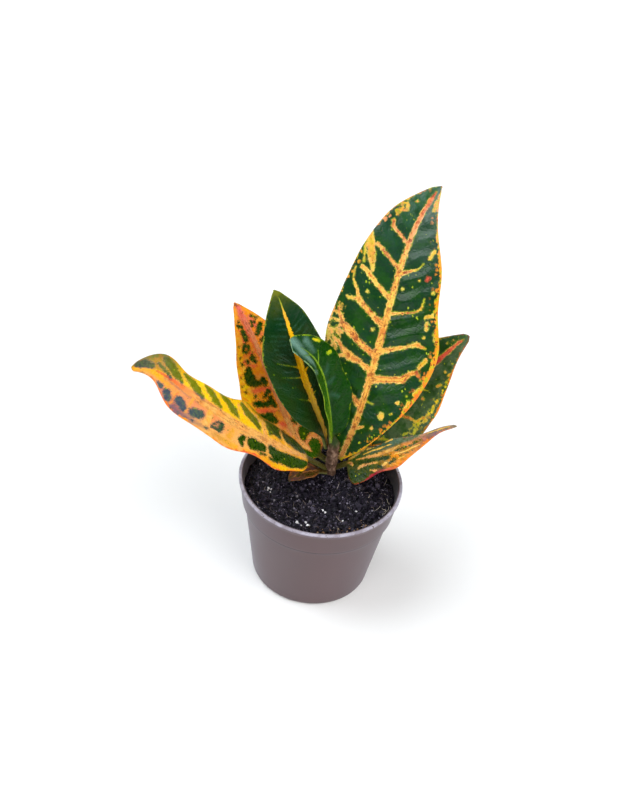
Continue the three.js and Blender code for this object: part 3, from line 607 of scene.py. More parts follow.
def midrib_points(leaf, s):
    """The midrib at s millimetres from the foot: the forward direction summed in even steps, and
    carried straight back behind the foot for negative s."""
    steps = MIDRIB_STEPS
    forward = leaf_axes(leaf, (np.arange(steps) + 0.5) / steps)[0]
    turn, reach, height = leaf["foot"]
    radius = STEM_RADIUS + reach
    turn = math.radians(turn)
    foot = np.array([STEM_X + radius * math.cos(turn), STEM_Y + radius * math.sin(turn), height])
    line = np.concatenate([[foot], foot + np.cumsum(forward * leaf["length"] / steps, 0)])
    even = np.linspace(0, leaf["length"], steps + 1)
    inside = np.stack([np.interp(s, even, line[:, k]) for k in range(3)], -1)
    return inside + np.minimum(s, 0)[..., None] * forward[0]


def half_width(leaf, u, side):
    """The blade's half width: its stations, times a quarter-round shoulder at the base and a
    square root at the tip, plus the stalk's, which fades out along the blade."""
    blade = np.clip((u - leaf["blade_start"]) / (1 - leaf["blade_start"]), 0, 1)
    short = 1 - np.minimum(1, blade / leaf["base_round"])
    shoulder = np.sqrt(np.maximum(0, 1 - short**2))
    taper = np.sqrt(np.minimum(1, (1 - blade) / TIP_TAPER))
    width = np.where(side > 0, along(leaf["left"], blade), along(leaf["right"], blade))
    stalk = STALK_HALF_WIDTH * np.maximum(0, 1 - blade / STALK_FADE)
    return np.maximum(LEAST_HALF_WIDTH, width * shoulder * taper + stalk)


def nearest_stroke(s, a, strokes):
    """For each place, how deep it lies inside the strokes, in millimetres and negative outside:
    the half width less the distance to the line, the largest over all stretches. Also how far
    along its stroke that is, the stroke's number and its half width there."""
    best = np.stack([np.full(s.shape, -99.0), 0 * s, 0 * s, 0 * s])
    for number, stroke in enumerate(strokes):
        points = stroke if len(stroke) > 1 else stroke * 2
        begun = 0
        for (s0, a0, w0), (s1, a1, w1) in zip(points, points[1:]):
            length = math.hypot(s1 - s0, a1 - a0)
            t = ((s - s0) * (s1 - s0) + (a - a0) * (a1 - a0)) / max(length**2, 1e-9)
            t = np.clip(t, 0, 1)
            half = (w0 + t * (w1 - w0)) / 2
            distance = np.hypot(s - s0 - t * (s1 - s0), a - a0 - t * (a1 - a0))
            here = np.stack([half - distance, begun + t * length, 0 * s + number, half])
            best = np.where(here[0] > best[0], here, best)
            begun += length
    return best


def crease_distance(s, a, marks):
    """The distance to the nearest vein that dents the blade: the painted veins' middle lines and
    plain side veins that leave the midrib at their stations and lean forward."""
    lines = [[(p[0], p[1], 0) for p in stroke] for stroke in marks["veins"]]
    out = CREASE_REACH
    for stations, side in zip(marks["creases"], (1, -1)):
        for start in stations:
            lines.append([(start, 0, 0), (start + marks["lean"] * out / 2, side * out / 2, 0),
                          (start + 1.25 * marks["lean"] * out, side * out, 0)])
    return -nearest_stroke(s, a, lines)[0]


def leaf_surface(leaf, marks, s, v):
    """The blade's upper face at s along and v = -1..1 across: out from the midrib by the half
    width, raised by the fold on each side, waved towards the margin, and puffed up between the
    side veins by 1 - exp(-(distance / reach)^2), less towards the margin, the foot and the tip."""
    u = np.clip(s / leaf["length"], 0, 1)
    side = np.where(v < 0, -1.0, 1.0)
    out = np.abs(v) * half_width(leaf, u, side)
    fold = np.radians(np.where(side > 0, along(leaf["fold_left"], u), along(leaf["fold_right"], u)))
    waves = np.sin(2 * np.pi * (leaf["ripples"] * u + 0.25 * side))
    ripple = RIPPLE_HEIGHT * waves * v**2 * np.sin(np.pi * u)
    distance = crease_distance(s, side * out, marks)
    fade = (1 - np.abs(v) ** 3) * np.sin(np.pi * u) ** 0.4
    height, reach = marks["pillow"]
    pillow = height * (1 - np.exp(-((distance / reach) ** 2))) * fade
    _, left, up = leaf_axes(leaf, u)
    rise = out * np.sin(fold) + ripple + pillow
    place = midrib_points(leaf, s) + left * (side * out * np.cos(fold))[..., None]
    return place + up * rise[..., None], out, fold, side


def leaf_shell(leaf, marks):
    """The closed leaf as one grid: rows run from just inside the stem to the tip, and each row
    goes over the upper face, round the margin's nose, back under the lower face and round the
    other nose. The lower face lies under the upper one by the blade's thickness and, near the
    midrib, by the half-round rib and stalk. With it come, for each vertex, its place s and a, its
    distance from the margin, and 0 above, 1 below or 0.5 on a nose."""
    length = leaf["length"]
    widest = max(leaf["left"]) + max(leaf["right"])
    rows = int((length + ROOT_DEPTH) / GRID_STEP)
    over = 2 * int(widest / GRID_STEP / 2) + 1
    under = over // 2
    s = np.linspace(-ROOT_DEPTH, length, rows)[:, None]
    v_over = np.linspace(-1, 1, over)[None, :]
    v_under = np.linspace(1, -1, under)[None, :]
    upper, out, _, side = leaf_surface(leaf, marks, *np.broadcast_arrays(s, v_over))
    above, out_under, fold, side_under = leaf_surface(leaf, marks, *np.broadcast_arrays(s, v_under))
    u = np.clip(s / length, 0, 1)
    _, left, up = leaf_axes(leaf, np.broadcast_to(u, out_under.shape))
    tilt = fold * np.minimum(1, np.abs(v_under) / 0.2)
    face = up * np.cos(tilt)[..., None] - left * (side_under * np.sin(tilt))[..., None]
    radius = RIB_RADIUS * (1 - RIB_NARROWING * u)
    half_round = np.sqrt(np.maximum(0, 1 - (out_under / radius) ** 2))
    rib = RIB_DEPTH * (1 - RIB_FLATTENING * u) * half_round
    thin = np.clip((1 - np.abs(v_under)) * 6, LEAST_THICKNESS_SHARE, 1)
    lower = above - face * (BLADE_THICKNESS * thin + rib)[..., None]
    left_nose = (upper[:, -1:] + lower[:, :1]) / 2 + left[:, :1] * NOSE
    right_nose = (upper[:, :1] + lower[:, -1:]) / 2 - left[:, :1] * NOSE
    ring = np.concatenate([upper, left_nose, lower, right_nose], 1)
    s_ring = np.broadcast_to(s, ring.shape[:2])
    across_upper = side * out
    across_lower = side_under * out_under
    left_edge = across_upper[:, -1:]
    right_edge = across_upper[:, :1]
    a_ring = np.concatenate([across_upper, left_edge, across_lower, right_edge], 1)
    edge_upper = np.where(side > 0, left_edge, -right_edge) - out
    edge_lower = np.where(side_under > 0, left_edge, -right_edge) - out_under
    none = np.zeros((rows, 1))
    e_ring = np.concatenate([edge_upper, none, edge_lower, none], 1)
    f_ring = np.concatenate([0 * out, none + 0.5, 0 * out_under + 1, none + 0.5], 1)
    columns = ring.shape[1]
    faces = grid_faces(rows, columns)[:, ::-1].tolist()
    faces.append(list(range(columns)))
    faces.append(list(range(columns * rows - 1, columns * (rows - 1) - 1, -1)))
    return ring.reshape(-1, 3), faces, s_ring, a_ring, e_ring, f_ring


def linear(colour):
    """A screen colour 0 to 255 as the linear light that the renderer takes."""
    c = np.asarray(colour, float) / 255
    return np.where(c <= 0.04045, c / 12.92, ((c + 0.055) / 1.055) ** 2.4)


def tint(names, u, a, out):
    """The colour at u along the leaf, a across and the share out of the way to the margin, from
    rows of colour names. Left and right blend over the 1.2 mm about the midrib, and the outer rows
    come in from half the way out to four fifths."""
    rows = []
    for row in names:
        shades = np.array([linear(COLOURS[n]) for n in row.split()])
        rows.append(np.stack([np.clip(along(shades[:, k], u), 0, 1) for k in range(3)], -1))
    if len(rows) == 1:
        return rows[0]
    share = np.clip(a / 1.2 + 0.5, 0, 1)[..., None]
    inner = rows[1] * (1 - share) + rows[0] * share
    if len(rows) == 2:
        return inner
    outer = rows[3] * (1 - share) + rows[2] * share
    reach = np.clip((out - 0.5) / 0.3, 0, 1)[..., None]
    return inner * (1 - reach) + outer * reach


def painted_leaf(name):
    """A leaf with its place, its paint depths, its strokes' runs and its tints on its vertices."""
    leaf = LEAVES[name]
    marks = marks_of(name)
    points, faces, s, a, edge, under = leaf_shell(leaf, marks)
    piece = make_mesh(name + "_blade", points, faces)
    u = np.clip(s / leaf["length"], 0, 1)
    width = np.where(a > 0, along(marks["margin"][0], u), along(marks["margin"][1], u))
    pale, run, number, half = nearest_stroke(s, a, marks["veins"] + marks["spots"])
    dark = nearest_stroke(s, a, marks["blotches"])[0]
    apart = 0 * s + NOISE_SHIFT * list(LEAVES).index(name)
    point_attribute(piece, "place", "FLOAT_VECTOR", np.stack([s, a, apart], -1))
    point_attribute(piece, "paint", "FLOAT_VECTOR", np.stack([pale, dark, width - edge], -1))
    point_attribute(piece, "run", "FLOAT_VECTOR", np.stack([run, number, half], -1))
    point_attribute(piece, "under", "FLOAT", under)
    point_attribute(piece, "flush_and_glint", "FLOAT", nearest_stroke(s, a, marks["flushes_and_glints"])[0])
    point_attribute(piece, "lace", "FLOAT", nearest_stroke(s, a, marks["laces"])[0])
    out = np.abs(a) / (np.abs(a) + edge + 0.1)
    for layer, names in TINTS[name].items():
        colour = tint(names, u, a, out)
        colour = np.concatenate([colour, np.ones(colour.shape[:-1] + (1,))], -1)
        point_attribute(piece, layer + "_tint", "FLOAT_COLOR", colour)
    return piece


# Pot, soil and stem

def arc(centre, radius, start, end, steps):
    """Profile points on an arc about (radius, height) from one angle to another, in degrees."""
    angles = np.radians(np.linspace(start, end, steps))
    return np.stack([centre[0] + radius * np.cos(angles), centre[1] + radius * np.sin(angles)], -1)


def line_points(start, end, steps):
    """Profile points on a straight line, without its two ends."""
    t = np.linspace(0, 1, steps + 2)[1:-1, None]
    return np.asarray(start) * (1 - t) + np.asarray(end) * t


def turned(profile, sides):
    """Points and faces of a profile turned about +Z: each (radius, height) goes round in even
    steps, and a fan of triangles closes each end of the profile on the axis."""
    angles = 2 * np.pi * np.arange(sides) / sides
    profile = np.asarray(profile, float)
    rim = profile[1:-1]
    points = np.stack([rim[:, :1] * np.cos(angles), rim[:, :1] * np.sin(angles),
                       np.repeat(rim[:, 1:], sides, 1)], -1).reshape(-1, 3)
    first = len(points)
    last = first + 1
    end = first - sides
    faces = grid_faces(len(rim), sides).tolist()
    faces += [[first, (k + 1) % sides, k] for k in range(sides)]
    faces += [[last, end + k, end + (k + 1) % sides] for k in range(sides)]
    return np.concatenate([points, [[0, 0, profile[0, 1]], [0, 0, profile[-1, 1]]]]), faces


def inside_radius(height):
    """The inside of the pot's wall at a height: the body's or the collar's outside, less the wall."""
    if height <= COLLAR_FOOT_HEIGHT:
        slope = (BODY_TOP_RADIUS - BASE_RADIUS) / COLLAR_FOOT_HEIGHT
        return BASE_RADIUS + slope * height - WALL
    climb = (height - COLLAR_FOOT_HEIGHT) / (POT_HEIGHT - COLLAR_FOOT_HEIGHT)
    return COLLAR_FOOT_RADIUS + (COLLAR_TOP_RADIUS - COLLAR_FOOT_RADIUS) * climb - WALL


def inside_point(height):
    """The profile point (radius, height) on the inside of the pot's wall."""
    return inside_radius(height), height


def under_step():
    """The inside of the wall just under the collar's foot."""
    return inside_radius(COLLAR_FOOT_HEIGHT - 0.01)


def pot_shell():
    """The pot: one turned profile with rounded base, collar step and lip, and drain holes cut
    through its floor."""
    foot = BASE_RADIUS - BASE_ROUNDING
    wall_top = (BODY_TOP_RADIUS, COLLAR_FOOT_HEIGHT - COLLAR_STEP)
    collar_foot = (COLLAR_FOOT_RADIUS, COLLAR_FOOT_HEIGHT)
    step = 0.25
    lip_foot = POT_HEIGHT - LIP_HEIGHT
    lip_out = LIP_RADIUS - LIP_ROUNDING
    inner_lip = inside_radius(POT_HEIGHT) + LIP_ROUNDING
    top = POT_HEIGHT - LIP_ROUNDING
    inner_step = inside_point(COLLAR_FOOT_HEIGHT + COLLAR_STEP)
    inner_foot = (under_step(), COLLAR_FOOT_HEIGHT)
    floor_edge = inside_point(FLOOR)
    profile = np.concatenate([
        [(0, 0)],
        line_points((0, 0), (foot, 0), 8),
        arc((foot, BASE_ROUNDING), BASE_ROUNDING, -90, -8, 10),
        line_points((BASE_RADIUS, BASE_ROUNDING), wall_top, 16),
        [(wall_top[0], wall_top[1] - step), (wall_top[0] + 0.12, wall_top[1])],
        [(collar_foot[0] - 0.12, collar_foot[1] - 0.12), (collar_foot[0], collar_foot[1] + step)],
        line_points(collar_foot, (COLLAR_TOP_RADIUS, lip_foot), 6),
        [(COLLAR_TOP_RADIUS, lip_foot - 0.15), (COLLAR_TOP_RADIUS + 0.12, lip_foot)],
        arc((lip_out, lip_foot + LIP_ROUNDING), LIP_ROUNDING, -60, 0, 5),
        arc((lip_out, top), LIP_ROUNDING, 0, 90, 8),
        arc((inner_lip, top), LIP_ROUNDING, 90, 180, 8),
        line_points((inside_radius(POT_HEIGHT), top), inner_step, 6),
        [inner_step, inner_foot],
        line_points(inner_foot, floor_edge, 12),
        [floor_edge],
        line_points(floor_edge, (0, FLOOR), 8),
        [(0, FLOOR)],
    ])
    piece = make_mesh("pot_shell", *turned(profile, POT_SIDES))
    for k in range(DRAIN_HOLES):
        angle = 2 * math.pi * k / DRAIN_HOLES
        rod = [(0, -1), (DRAIN_RADIUS, -1), (DRAIN_RADIUS, FLOOR + 1), (0, FLOOR + 1)]
        points, faces = turned(rod, DRAIN_SIDES)
        points[:, 0] += DRAIN_CIRCLE * math.cos(angle)
        points[:, 1] += DRAIN_CIRCLE * math.sin(angle)
        cutter = make_mesh("drain_cutter", points, faces)
        cut = piece.modifiers.new("drain", "BOOLEAN")
        cut.object = cutter
        cut.operation = "DIFFERENCE"
        cut.solver = "EXACT"
        bake_modifiers(piece)
        bpy.data.objects.remove(cutter)
    piece.data.set_sharp_from_angle(angle=math.radians(40))
    return piece


def bake_modifiers(piece):
    """Puts the piece's modified mesh in place of its plain one."""
    graph = bpy.context.evaluated_depsgraph_get()
    mesh = bpy.data.meshes.new_from_object(piece.evaluated_get(graph))
    piece.modifiers.clear()
    piece.data = mesh


def lattice_noise(x, y, cell, seed):
    """Smooth noise from -1 to 1: random heights on a square lattice, blended by 3t^2 - 2t^3."""
    size = 128
    heights = np.random.default_rng(seed).uniform(-1, 1, (size, size))
    i = np.floor(x / cell).astype(int)
    j = np.floor(y / cell).astype(int)
    fx = x / cell - i
    fy = y / cell - j
    fx = fx * fx * (3 - 2 * fx)
    fy = fy * fy * (3 - 2 * fy)
    near = heights[i % size, j % size] * (1 - fx) + heights[(i + 1) % size, j % size] * fx
    far = heights[i % size, (j + 1) % size] * (1 - fx) + heights[(i + 1) % size, (j + 1) % size] * fx
    return near * (1 - fy) + far * fy


def soil_height(x, y):
    """The soil's top: a low dome, the clods' two crossed waves, and noise of four finer sizes."""
    share = np.minimum(1, np.hypot(x, y) / inside_radius(SOIL_EDGE_HEIGHT))
    dome = SOIL_EDGE_HEIGHT + (SOIL_MIDDLE_HEIGHT - SOIL_EDGE_HEIGHT) * (1 - share**3)
    coarse = np.sin(0.9 * x + 0.4) * np.cos(0.8 * y)
    fine = np.sin(1.7 * x + 1.3 * y) * np.cos(1.1 * x - 1.6 * y + 0.7)
    clods = CLOD_HEIGHT * (0.6 * coarse + 0.4 * fine)
    rough = [(3.4, 0.5), (1.9, 0.7), (1.0, 0.55), (0.55, 0.3)]
    bumps = sum(h * lattice_noise(x, y, cell, SEED + k) for k, (cell, h) in enumerate(rough))
    return dome + clods + bumps


def soil_body():
    """The soil: a plug turned inside the pot, whose top vertices rise to the soil's height, each
    with a little crumble of its own."""
    edge = inside_radius(SOIL_EDGE_HEIGHT) - 0.05
    step_top = COLLAR_FOOT_HEIGHT + COLLAR_STEP
    profile = [
        (0, FLOOR + GAP),
        (inside_radius(FLOOR) - GAP, FLOOR + GAP),
        (under_step() - GAP, COLLAR_FOOT_HEIGHT + GAP),
        (inside_radius(step_top) - GAP, step_top + GAP),
    ]
    profile += [(r, SOIL_EDGE_HEIGHT) for r in np.linspace(edge, 0, SOIL_RINGS)]
    points, faces = turned(profile, SOIL_SIDES)
    top = points[:, 2] > SOIL_EDGE_HEIGHT - 0.01
    crumble = np.random.default_rng(SEED + 5).uniform(-0.14, 0.14, top.sum())
    points[top, 2] = soil_height(points[top, 0], points[top, 1]) + crumble
    return make_mesh("potting_soil", points, faces, False)


def ball(level):
    """Points and triangles of a round ball of radius 1, halved in edge length at each level."""
    shape = bmesh.new()
    bmesh.ops.create_icosphere(shape, subdivisions=level, radius=1)
    points = np.array([v.co[:] for v in shape.verts])
    faces = np.array([[v.index for v in f.verts] for f in shape.faces])
    shape.free()
    return points, faces


def random_turns(draw, count):
    """Rotation matrices of random quaternions."""
    w, x, y, z = draw.normal(size=(4, count))
    n = np.sqrt(w * w + x * x + y * y + z * z)
    w, x, y, z = w / n, x / n, y / n, z / n
    rows = [[1 - 2 * (y * y + z * z), 2 * (x * y - z * w), 2 * (x * z + y * w)],
            [2 * (x * y + z * w), 1 - 2 * (x * x + z * z), 2 * (y * z - x * w)],
            [2 * (x * z - y * w), 2 * (y * z + x * w), 1 - 2 * (x * x + y * y)]]
    return np.moveaxis(np.array(rows), -1, 0)


def lumps(name, places, sizes, rough, draw, tones=None):
    """Small uneven stones: a ball stretched by three random shares, each vertex pushed in or out
    at random, turned at random and set at its place, with one tone for the whole stone."""
    points, faces = ball(1)
    count = len(places)
    stretch = draw.uniform(0.55, 1.25, (count, 1, 3))
    push = draw.uniform(1 - rough, 1 + rough, (count, len(points), 1))
    stones = points[None] * stretch * push * np.asarray(sizes)[:, None, None]
    stones = np.einsum("nij,nkj->nki", random_turns(draw, count), stones)
    stones = stones + np.asarray(places)[:, None, :]
    every = (faces[None] + len(points) * np.arange(count)[:, None, None]).reshape(-1, 3)
    piece = make_mesh(name, stones.reshape(-1, 3), every.tolist(), False)
    if tones is None:
        tones = draw.uniform(0, 1, count)
    point_attribute(piece, "tone", "FLOAT", np.repeat(tones, len(points)))
    return piece


def on_soil(x, y, lift):
    """Places on the soil's top at x, y, raised by lift."""
    return np.stack([x, y, soil_height(x, y) + lift], -1)


def soil_scatter(draw, count, reach):
    """Random places within reach of the pot's axis, even over the area, clear of the stem."""
    radius = reach * np.sqrt(draw.uniform(0, 1, 2 * count))
    angle = draw.uniform(0, 2 * np.pi, 2 * count)
    x = radius * np.cos(angle)
    y = radius * np.sin(angle)
    clear = np.hypot(x - STEM_X, y - STEM_Y) > STEM_RADIUS + 0.6
    return x[clear][:count], y[clear][:count]


def soil_crumbs():
    """Crumbs of peat, most under a millimetre, half sunk in the soil's top, and bigger clumps."""
    draw = np.random.default_rng(SEED + 10)
    x, y = soil_scatter(draw, CRUMBS, reach=27)
    size = 0.15 + 0.4 * draw.uniform(0, 1, len(x)) ** 2.5
    size[::6] += draw.uniform(0.1, 0.6, len(size[::6]))
    size[::50] += draw.uniform(0.3, 0.7, len(size[::50]))
    tones = draw.uniform(0, 1, len(x)) * np.clip(1.45 - 1.2 * size, 0.7, 1.14)
    return lumps("peat_crumbs", on_soil(x, y, size * 0.3), size, 0.42, draw, tones)


def bark_bits():
    """Tan chips of bark that lie along the front of the pot's wall."""
    draw = np.random.default_rng(SEED + 15)
    angle = np.radians(draw.uniform(-100, -40, CHIPS))
    radius = 24.4 - 3.4 * draw.uniform(0, 1, CHIPS) ** 1.6
    size = draw.uniform(0.14, 0.38, CHIPS)
    places = on_soil(radius * np.cos(angle), radius * np.sin(angle), size * 0.5)
    return lumps("bark_bits", places, size, 0.3, draw)


# Perlite grains that stand out in the photograph: x, y, size and tone from grey to white
PERLITE = [
    (2.2, -12.8, 0.6, 0.95), (3.1, -13.2, 0.45, 0.9), (-6.2, -19.9, 0.6, 0.9), (-4.7, -20.6, 0.5, 0.8),
    (-3.2, -19.6, 0.65, 0.9), (-2.4, -20.4, 0.5, 0.95), (-18.4, -4.5, 0.5, 0.85),
    (-17.5, -4.8, 0.45, 0.6), (-17.6, -5.7, 0.4, 0.9), (-18.6, -5.5, 0.35, 0.7),
    (-5.5, -20.1, 0.45, 0.9), (-1.6, -20.8, 0.4, 0.8), (-7.3, -7.2, 0.7, 0.25), (-3, -8.4, 0.6, 0.2),
    (-15.6, -9.6, 0.7, 0.2), (14.2, -10.3, 0.4, 1), (9.8, -15.1, 0.34, 1), (5.4, -4.6, 0.4, 0.15),
    (19.4, 0.6, 0.5, 0.3),
]


def perlite_grains():
    """Perlite: white and grey lumps where the photograph shows them, and strays."""
    draw = np.random.default_rng(SEED + 20)
    x, y = soil_scatter(draw, STRAY_GRAINS, reach=26)
    size = 0.1 + 0.16 * draw.uniform(0, 1, STRAY_GRAINS) ** 2
    tones = draw.uniform(0.2, 1, STRAY_GRAINS)
    strays = np.stack([x, y, size, tones], -1)
    x, y, size, tones = np.concatenate([PERLITE, strays]).T
    return lumps("perlite_grains", on_soil(x, y, size * 0.4), size, 0.4, draw, tones)


def tube(path, radius, sides):
    """Points and faces of a closed round tube along a path, tapered at both ends: a ring about
    each point, square to the path, and a fan over each end ring."""
    path = np.asarray(path)
    forward = np.gradient(path, axis=0)
    forward /= np.linalg.norm(forward, axis=1)[:, None]
    across = np.cross(forward, [0.1, 0.2, 1])
    across /= np.linalg.norm(across, axis=1)[:, None]
    upward = np.cross(across, forward)
    t = np.linspace(0, 1, len(path))
    girth = radius * (0.35 + 0.65 * np.sin(np.pi * t) ** 0.5)[:, None, None]
    angle = 2 * np.pi * np.arange(sides)[None, :, None] / sides
    ring = across[:, None] * np.cos(angle) + upward[:, None] * np.sin(angle)
    points = (path[:, None] + ring * girth).reshape(-1, 3)
    faces = grid_faces(len(path), sides).tolist()
    faces.append(list(range(sides))[::-1])
    faces.append(list(range(len(points) - sides, len(points))))
    return points, faces


def join_shapes(name, shapes, tones):
    """One piece from several (points, faces) shapes, each with its own tone."""
    points = []
    faces = []
    for shape_points, shape_faces in shapes:
        start = sum(len(p) for p in points)
        points.append(shape_points)
        faces += [[start + k for k in face] for face in shape_faces]
    piece = make_mesh(name, np.concatenate(points), faces)
    point_attribute(piece, "tone", "FLOAT", np.repeat(tones, [len(p) for p in points]))
    return piece


# Pale fibres that stand out at the pot's right: x, y, length, heading in degrees and tone
FIBRES = [
    (24.4, -0.4, 6, -62, 0.95), (22.4, -6.6, 6.6, 34, 0.95), (25.6, -3.4, 5, -70, 0.95),
    (19, -8.4, 5, 12, 0.95), (21.6, 1.6, 5, -20, 0.95), (17.4, -4, 4.4, 60, 0.95),
]


def peat_fibres():
    """Dry roots and fibres: each a thin tube that wanders over the soil and lifts in its middle."""
    draw = np.random.default_rng(SEED + 30)
    x, y = soil_scatter(draw, STRAY_FIBRES, reach=25.5)
    x[::3] = np.abs(x[::3])
    length = draw.uniform(1.2, 5, STRAY_FIBRES)
    turn = draw.uniform(0, 2 * math.pi, STRAY_FIBRES)
    tones = draw.uniform(0, 0.9, STRAY_FIBRES) ** 1.5
    placed = np.array(FIBRES)
    placed[:, 3] = np.radians(placed[:, 3])
    fibres = np.concatenate([placed, np.stack([x, y, length, turn, tones], -1)])
    t = np.linspace(0, 1, 9)
    shapes = []
    for x, y, length, turn, _ in fibres:
        heading = turn + draw.normal(0, 0.25) * length * t
        px = x + np.cumsum(np.cos(heading)) * length / 8
        py = y + np.cumsum(np.sin(heading)) * length / 8
        pull = np.minimum(1, FIBRE_REACH / np.hypot(px, py))
        lift = 0.12 + draw.uniform(0, 0.7) * np.sin(np.pi * t)
        shapes.append(tube(on_soil(px * pull, py * pull, lift), draw.uniform(0.04, 0.09), 5))
    return join_shapes("peat_fibres", shapes, fibres[:, 4])


def stem_shoot():
    """The stem: radius = taper, a raised ring at each leaf scar, bark ridges from noise over angle
    and height, and a pointed bud above the top."""
    heights = np.concatenate([np.linspace(STEM_FOOT, 37, 8), np.linspace(37.3, STEM_TOP, 90)])
    bud = np.linspace(0, 1, 12)[1:-1]
    climb = np.clip((heights - TAPER_START) / (STEM_TOP - TAPER_START), 0, 1)
    radius = STEM_RADIUS - STEM_TAPER * climb - 0.2
    for scar in SCARS:
        above = heights - scar
        radius += 0.26 * np.exp(-((above / np.where(above > 0, 0.28, 0.7)) ** 2))
    bud_radius = radius[-1] * (1 - bud) ** 0.7 * (1 - 0.35 * bud)
    profile = [(0, STEM_FOOT)]
    profile += list(zip(radius, heights))
    profile += list(zip(bud_radius, STEM_TOP + BUD_HEIGHT * bud))
    profile += [(0, STEM_TOP + BUD_HEIGHT)]
    points, faces = turned(profile, STEM_SIDES)
    angle = np.arctan2(points[:, 1], points[:, 0])
    x = 3 * np.cos(angle)
    y = 3 * np.sin(angle)
    z = points[:, 2]
    ridges = lattice_noise(x * 3, y * 3 + z * 0.5, 1.1, SEED + 40)
    flakes = lattice_noise(x * 4 + 9, z * 2.2 + y, 0.9, SEED + 41)
    share = np.clip((STEM_TOP + 0.4 - z) / 2, 0, 1)
    swell = 1 + (0.05 * ridges + 0.035 * flakes) * share
    points[:, :2] *= swell[:, None]
    points[:, 0] += STEM_X
    points[:, 1] += STEM_Y
    return make_mesh("woody_stem", points, faces)


# Materials

class Finish:
    """A material's node tree, with one short call for each kind of node. A value given to a call
    is either a number or colour, or the socket that it comes from."""

    def __init__(self, name):
        self.material = bpy.data.materials.new(name)
        self.material.use_nodes = True
        self.tree = self.material.node_tree
        self.tree.nodes.clear()
        self.shader = self.node("ShaderNodeBsdfPrincipled")
        output = self.node("ShaderNodeOutputMaterial")
        self.tree.links.new(self.shader.outputs[0], output.inputs[0])

    def node(self, kind):
        return self.tree.nodes.new(kind)

    def put(self, socket, value):
        if isinstance(value, bpy.types.NodeSocket):
            self.tree.links.new(value, socket)
        elif value is not None:
            socket.default_value = value

    def attribute(self, name, output="Vector"):
        node = self.node("ShaderNodeAttribute")
        node.attribute_name = name
        return node.outputs[output]

    def split(self, vector):
        node = self.node("ShaderNodeSeparateXYZ")
        self.put(node.inputs[0], vector)
        return node.outputs

    def join(self, x, y, z):
        node = self.node("ShaderNodeCombineXYZ")
        for socket, value in zip(node.inputs, (x, y, z)):
            self.put(socket, value)
        return node.outputs[0]

    def object_place(self):
        return self.node("ShaderNodeTexCoord").outputs["Object"]

    def math(self, operation, a, b=None, c=None):
        node = self.node("ShaderNodeMath")
        node.operation = operation
        for socket, value in zip(node.inputs, (a, b, c)):
            self.put(socket, value)
        return node.outputs[0]

    def times(self, a, b):
        return self.math("MULTIPLY", a, b)

    def times_plus(self, a, b, c):
        return self.math("MULTIPLY_ADD", a, b, c)

    def centred(self, value):
        return self.math("SUBTRACT", value, 0.5)

    def noise(self, place, scale, detail, roughness, stretch=None):
        if stretch:
            node = self.node("ShaderNodeMapping")
            self.put(node.inputs["Vector"], place)
            node.inputs["Scale"].default_value = stretch
            place = node.outputs[0]
        node = self.node("ShaderNodeTexNoise")
        self.put(node.inputs["Vector"], place)
        node.inputs["Scale"].default_value = scale
        node.inputs["Detail"].default_value = detail
        node.inputs["Roughness"].default_value = roughness
        return node.outputs["Fac"]

    def cells(self, place, scale, feature="DISTANCE_TO_EDGE"):
        node = self.node("ShaderNodeTexVoronoi")
        node.feature = feature
        self.put(node.inputs["Vector"], place)
        node.inputs["Scale"].default_value = scale
        return node.outputs

    def ease(self, value, low, high, start=0.0, end=1.0):
        """Start below low, end above high, and a smooth step between."""
        node = self.node("ShaderNodeMapRange")
        node.interpolation_type = "SMOOTHSTEP"
        for socket, given in zip(node.inputs, (value, low, high, start, end)):
            self.put(socket, given)
        return node.outputs[0]

    def patches(self, place, grain, low, high, start=0.0, end=1.0):
        """Patches of noise: start below low, end above high. The grain is the noise's scale,
        detail, roughness and stretch."""
        return self.ease(self.noise(place, *grain), low, high, start, end)

    def dots(self, place, scale, share, radius, soft=0.08):
        """Round dots in a share of the cells, each of its own radius up to the given one."""
        cell = self.cells(place, scale, "F1")
        chance = self.split(cell["Color"])[0]
        size = self.ease(chance, 1 - share, 1, 0, radius)
        return self.ease(self.math("SUBTRACT", size, cell["Distance"]), 0.02, 0.02 + soft)

    def mix(self, share, a, b):
        node = self.node("ShaderNodeMix")
        node.data_type = "RGBA"
        self.put(node.inputs[0], share)
        self.put(node.inputs[6], a)
        self.put(node.inputs[7], b)
        return node.outputs[2]

    def paint(self, share, colour, name):
        """The colour under a share of a named one."""
        return self.mix(share, colour, shade(name))

    def bump(self, height, distance, strength):
        node = self.node("ShaderNodeBump")
        node.inputs["Strength"].default_value = strength
        node.inputs["Distance"].default_value = distance
        self.put(node.inputs["Height"], height)
        return node.outputs[0]

    def set(self, **sockets):
        for name, value in sockets.items():
            self.put(self.shader.inputs[name.replace("_", " ")], value)
        return self.material


def opaque(rgb):
    """A screen colour as the four numbers that a colour socket takes."""
    return (*linear(rgb), 1)


def shade(name):
    return opaque(COLOURS[name])


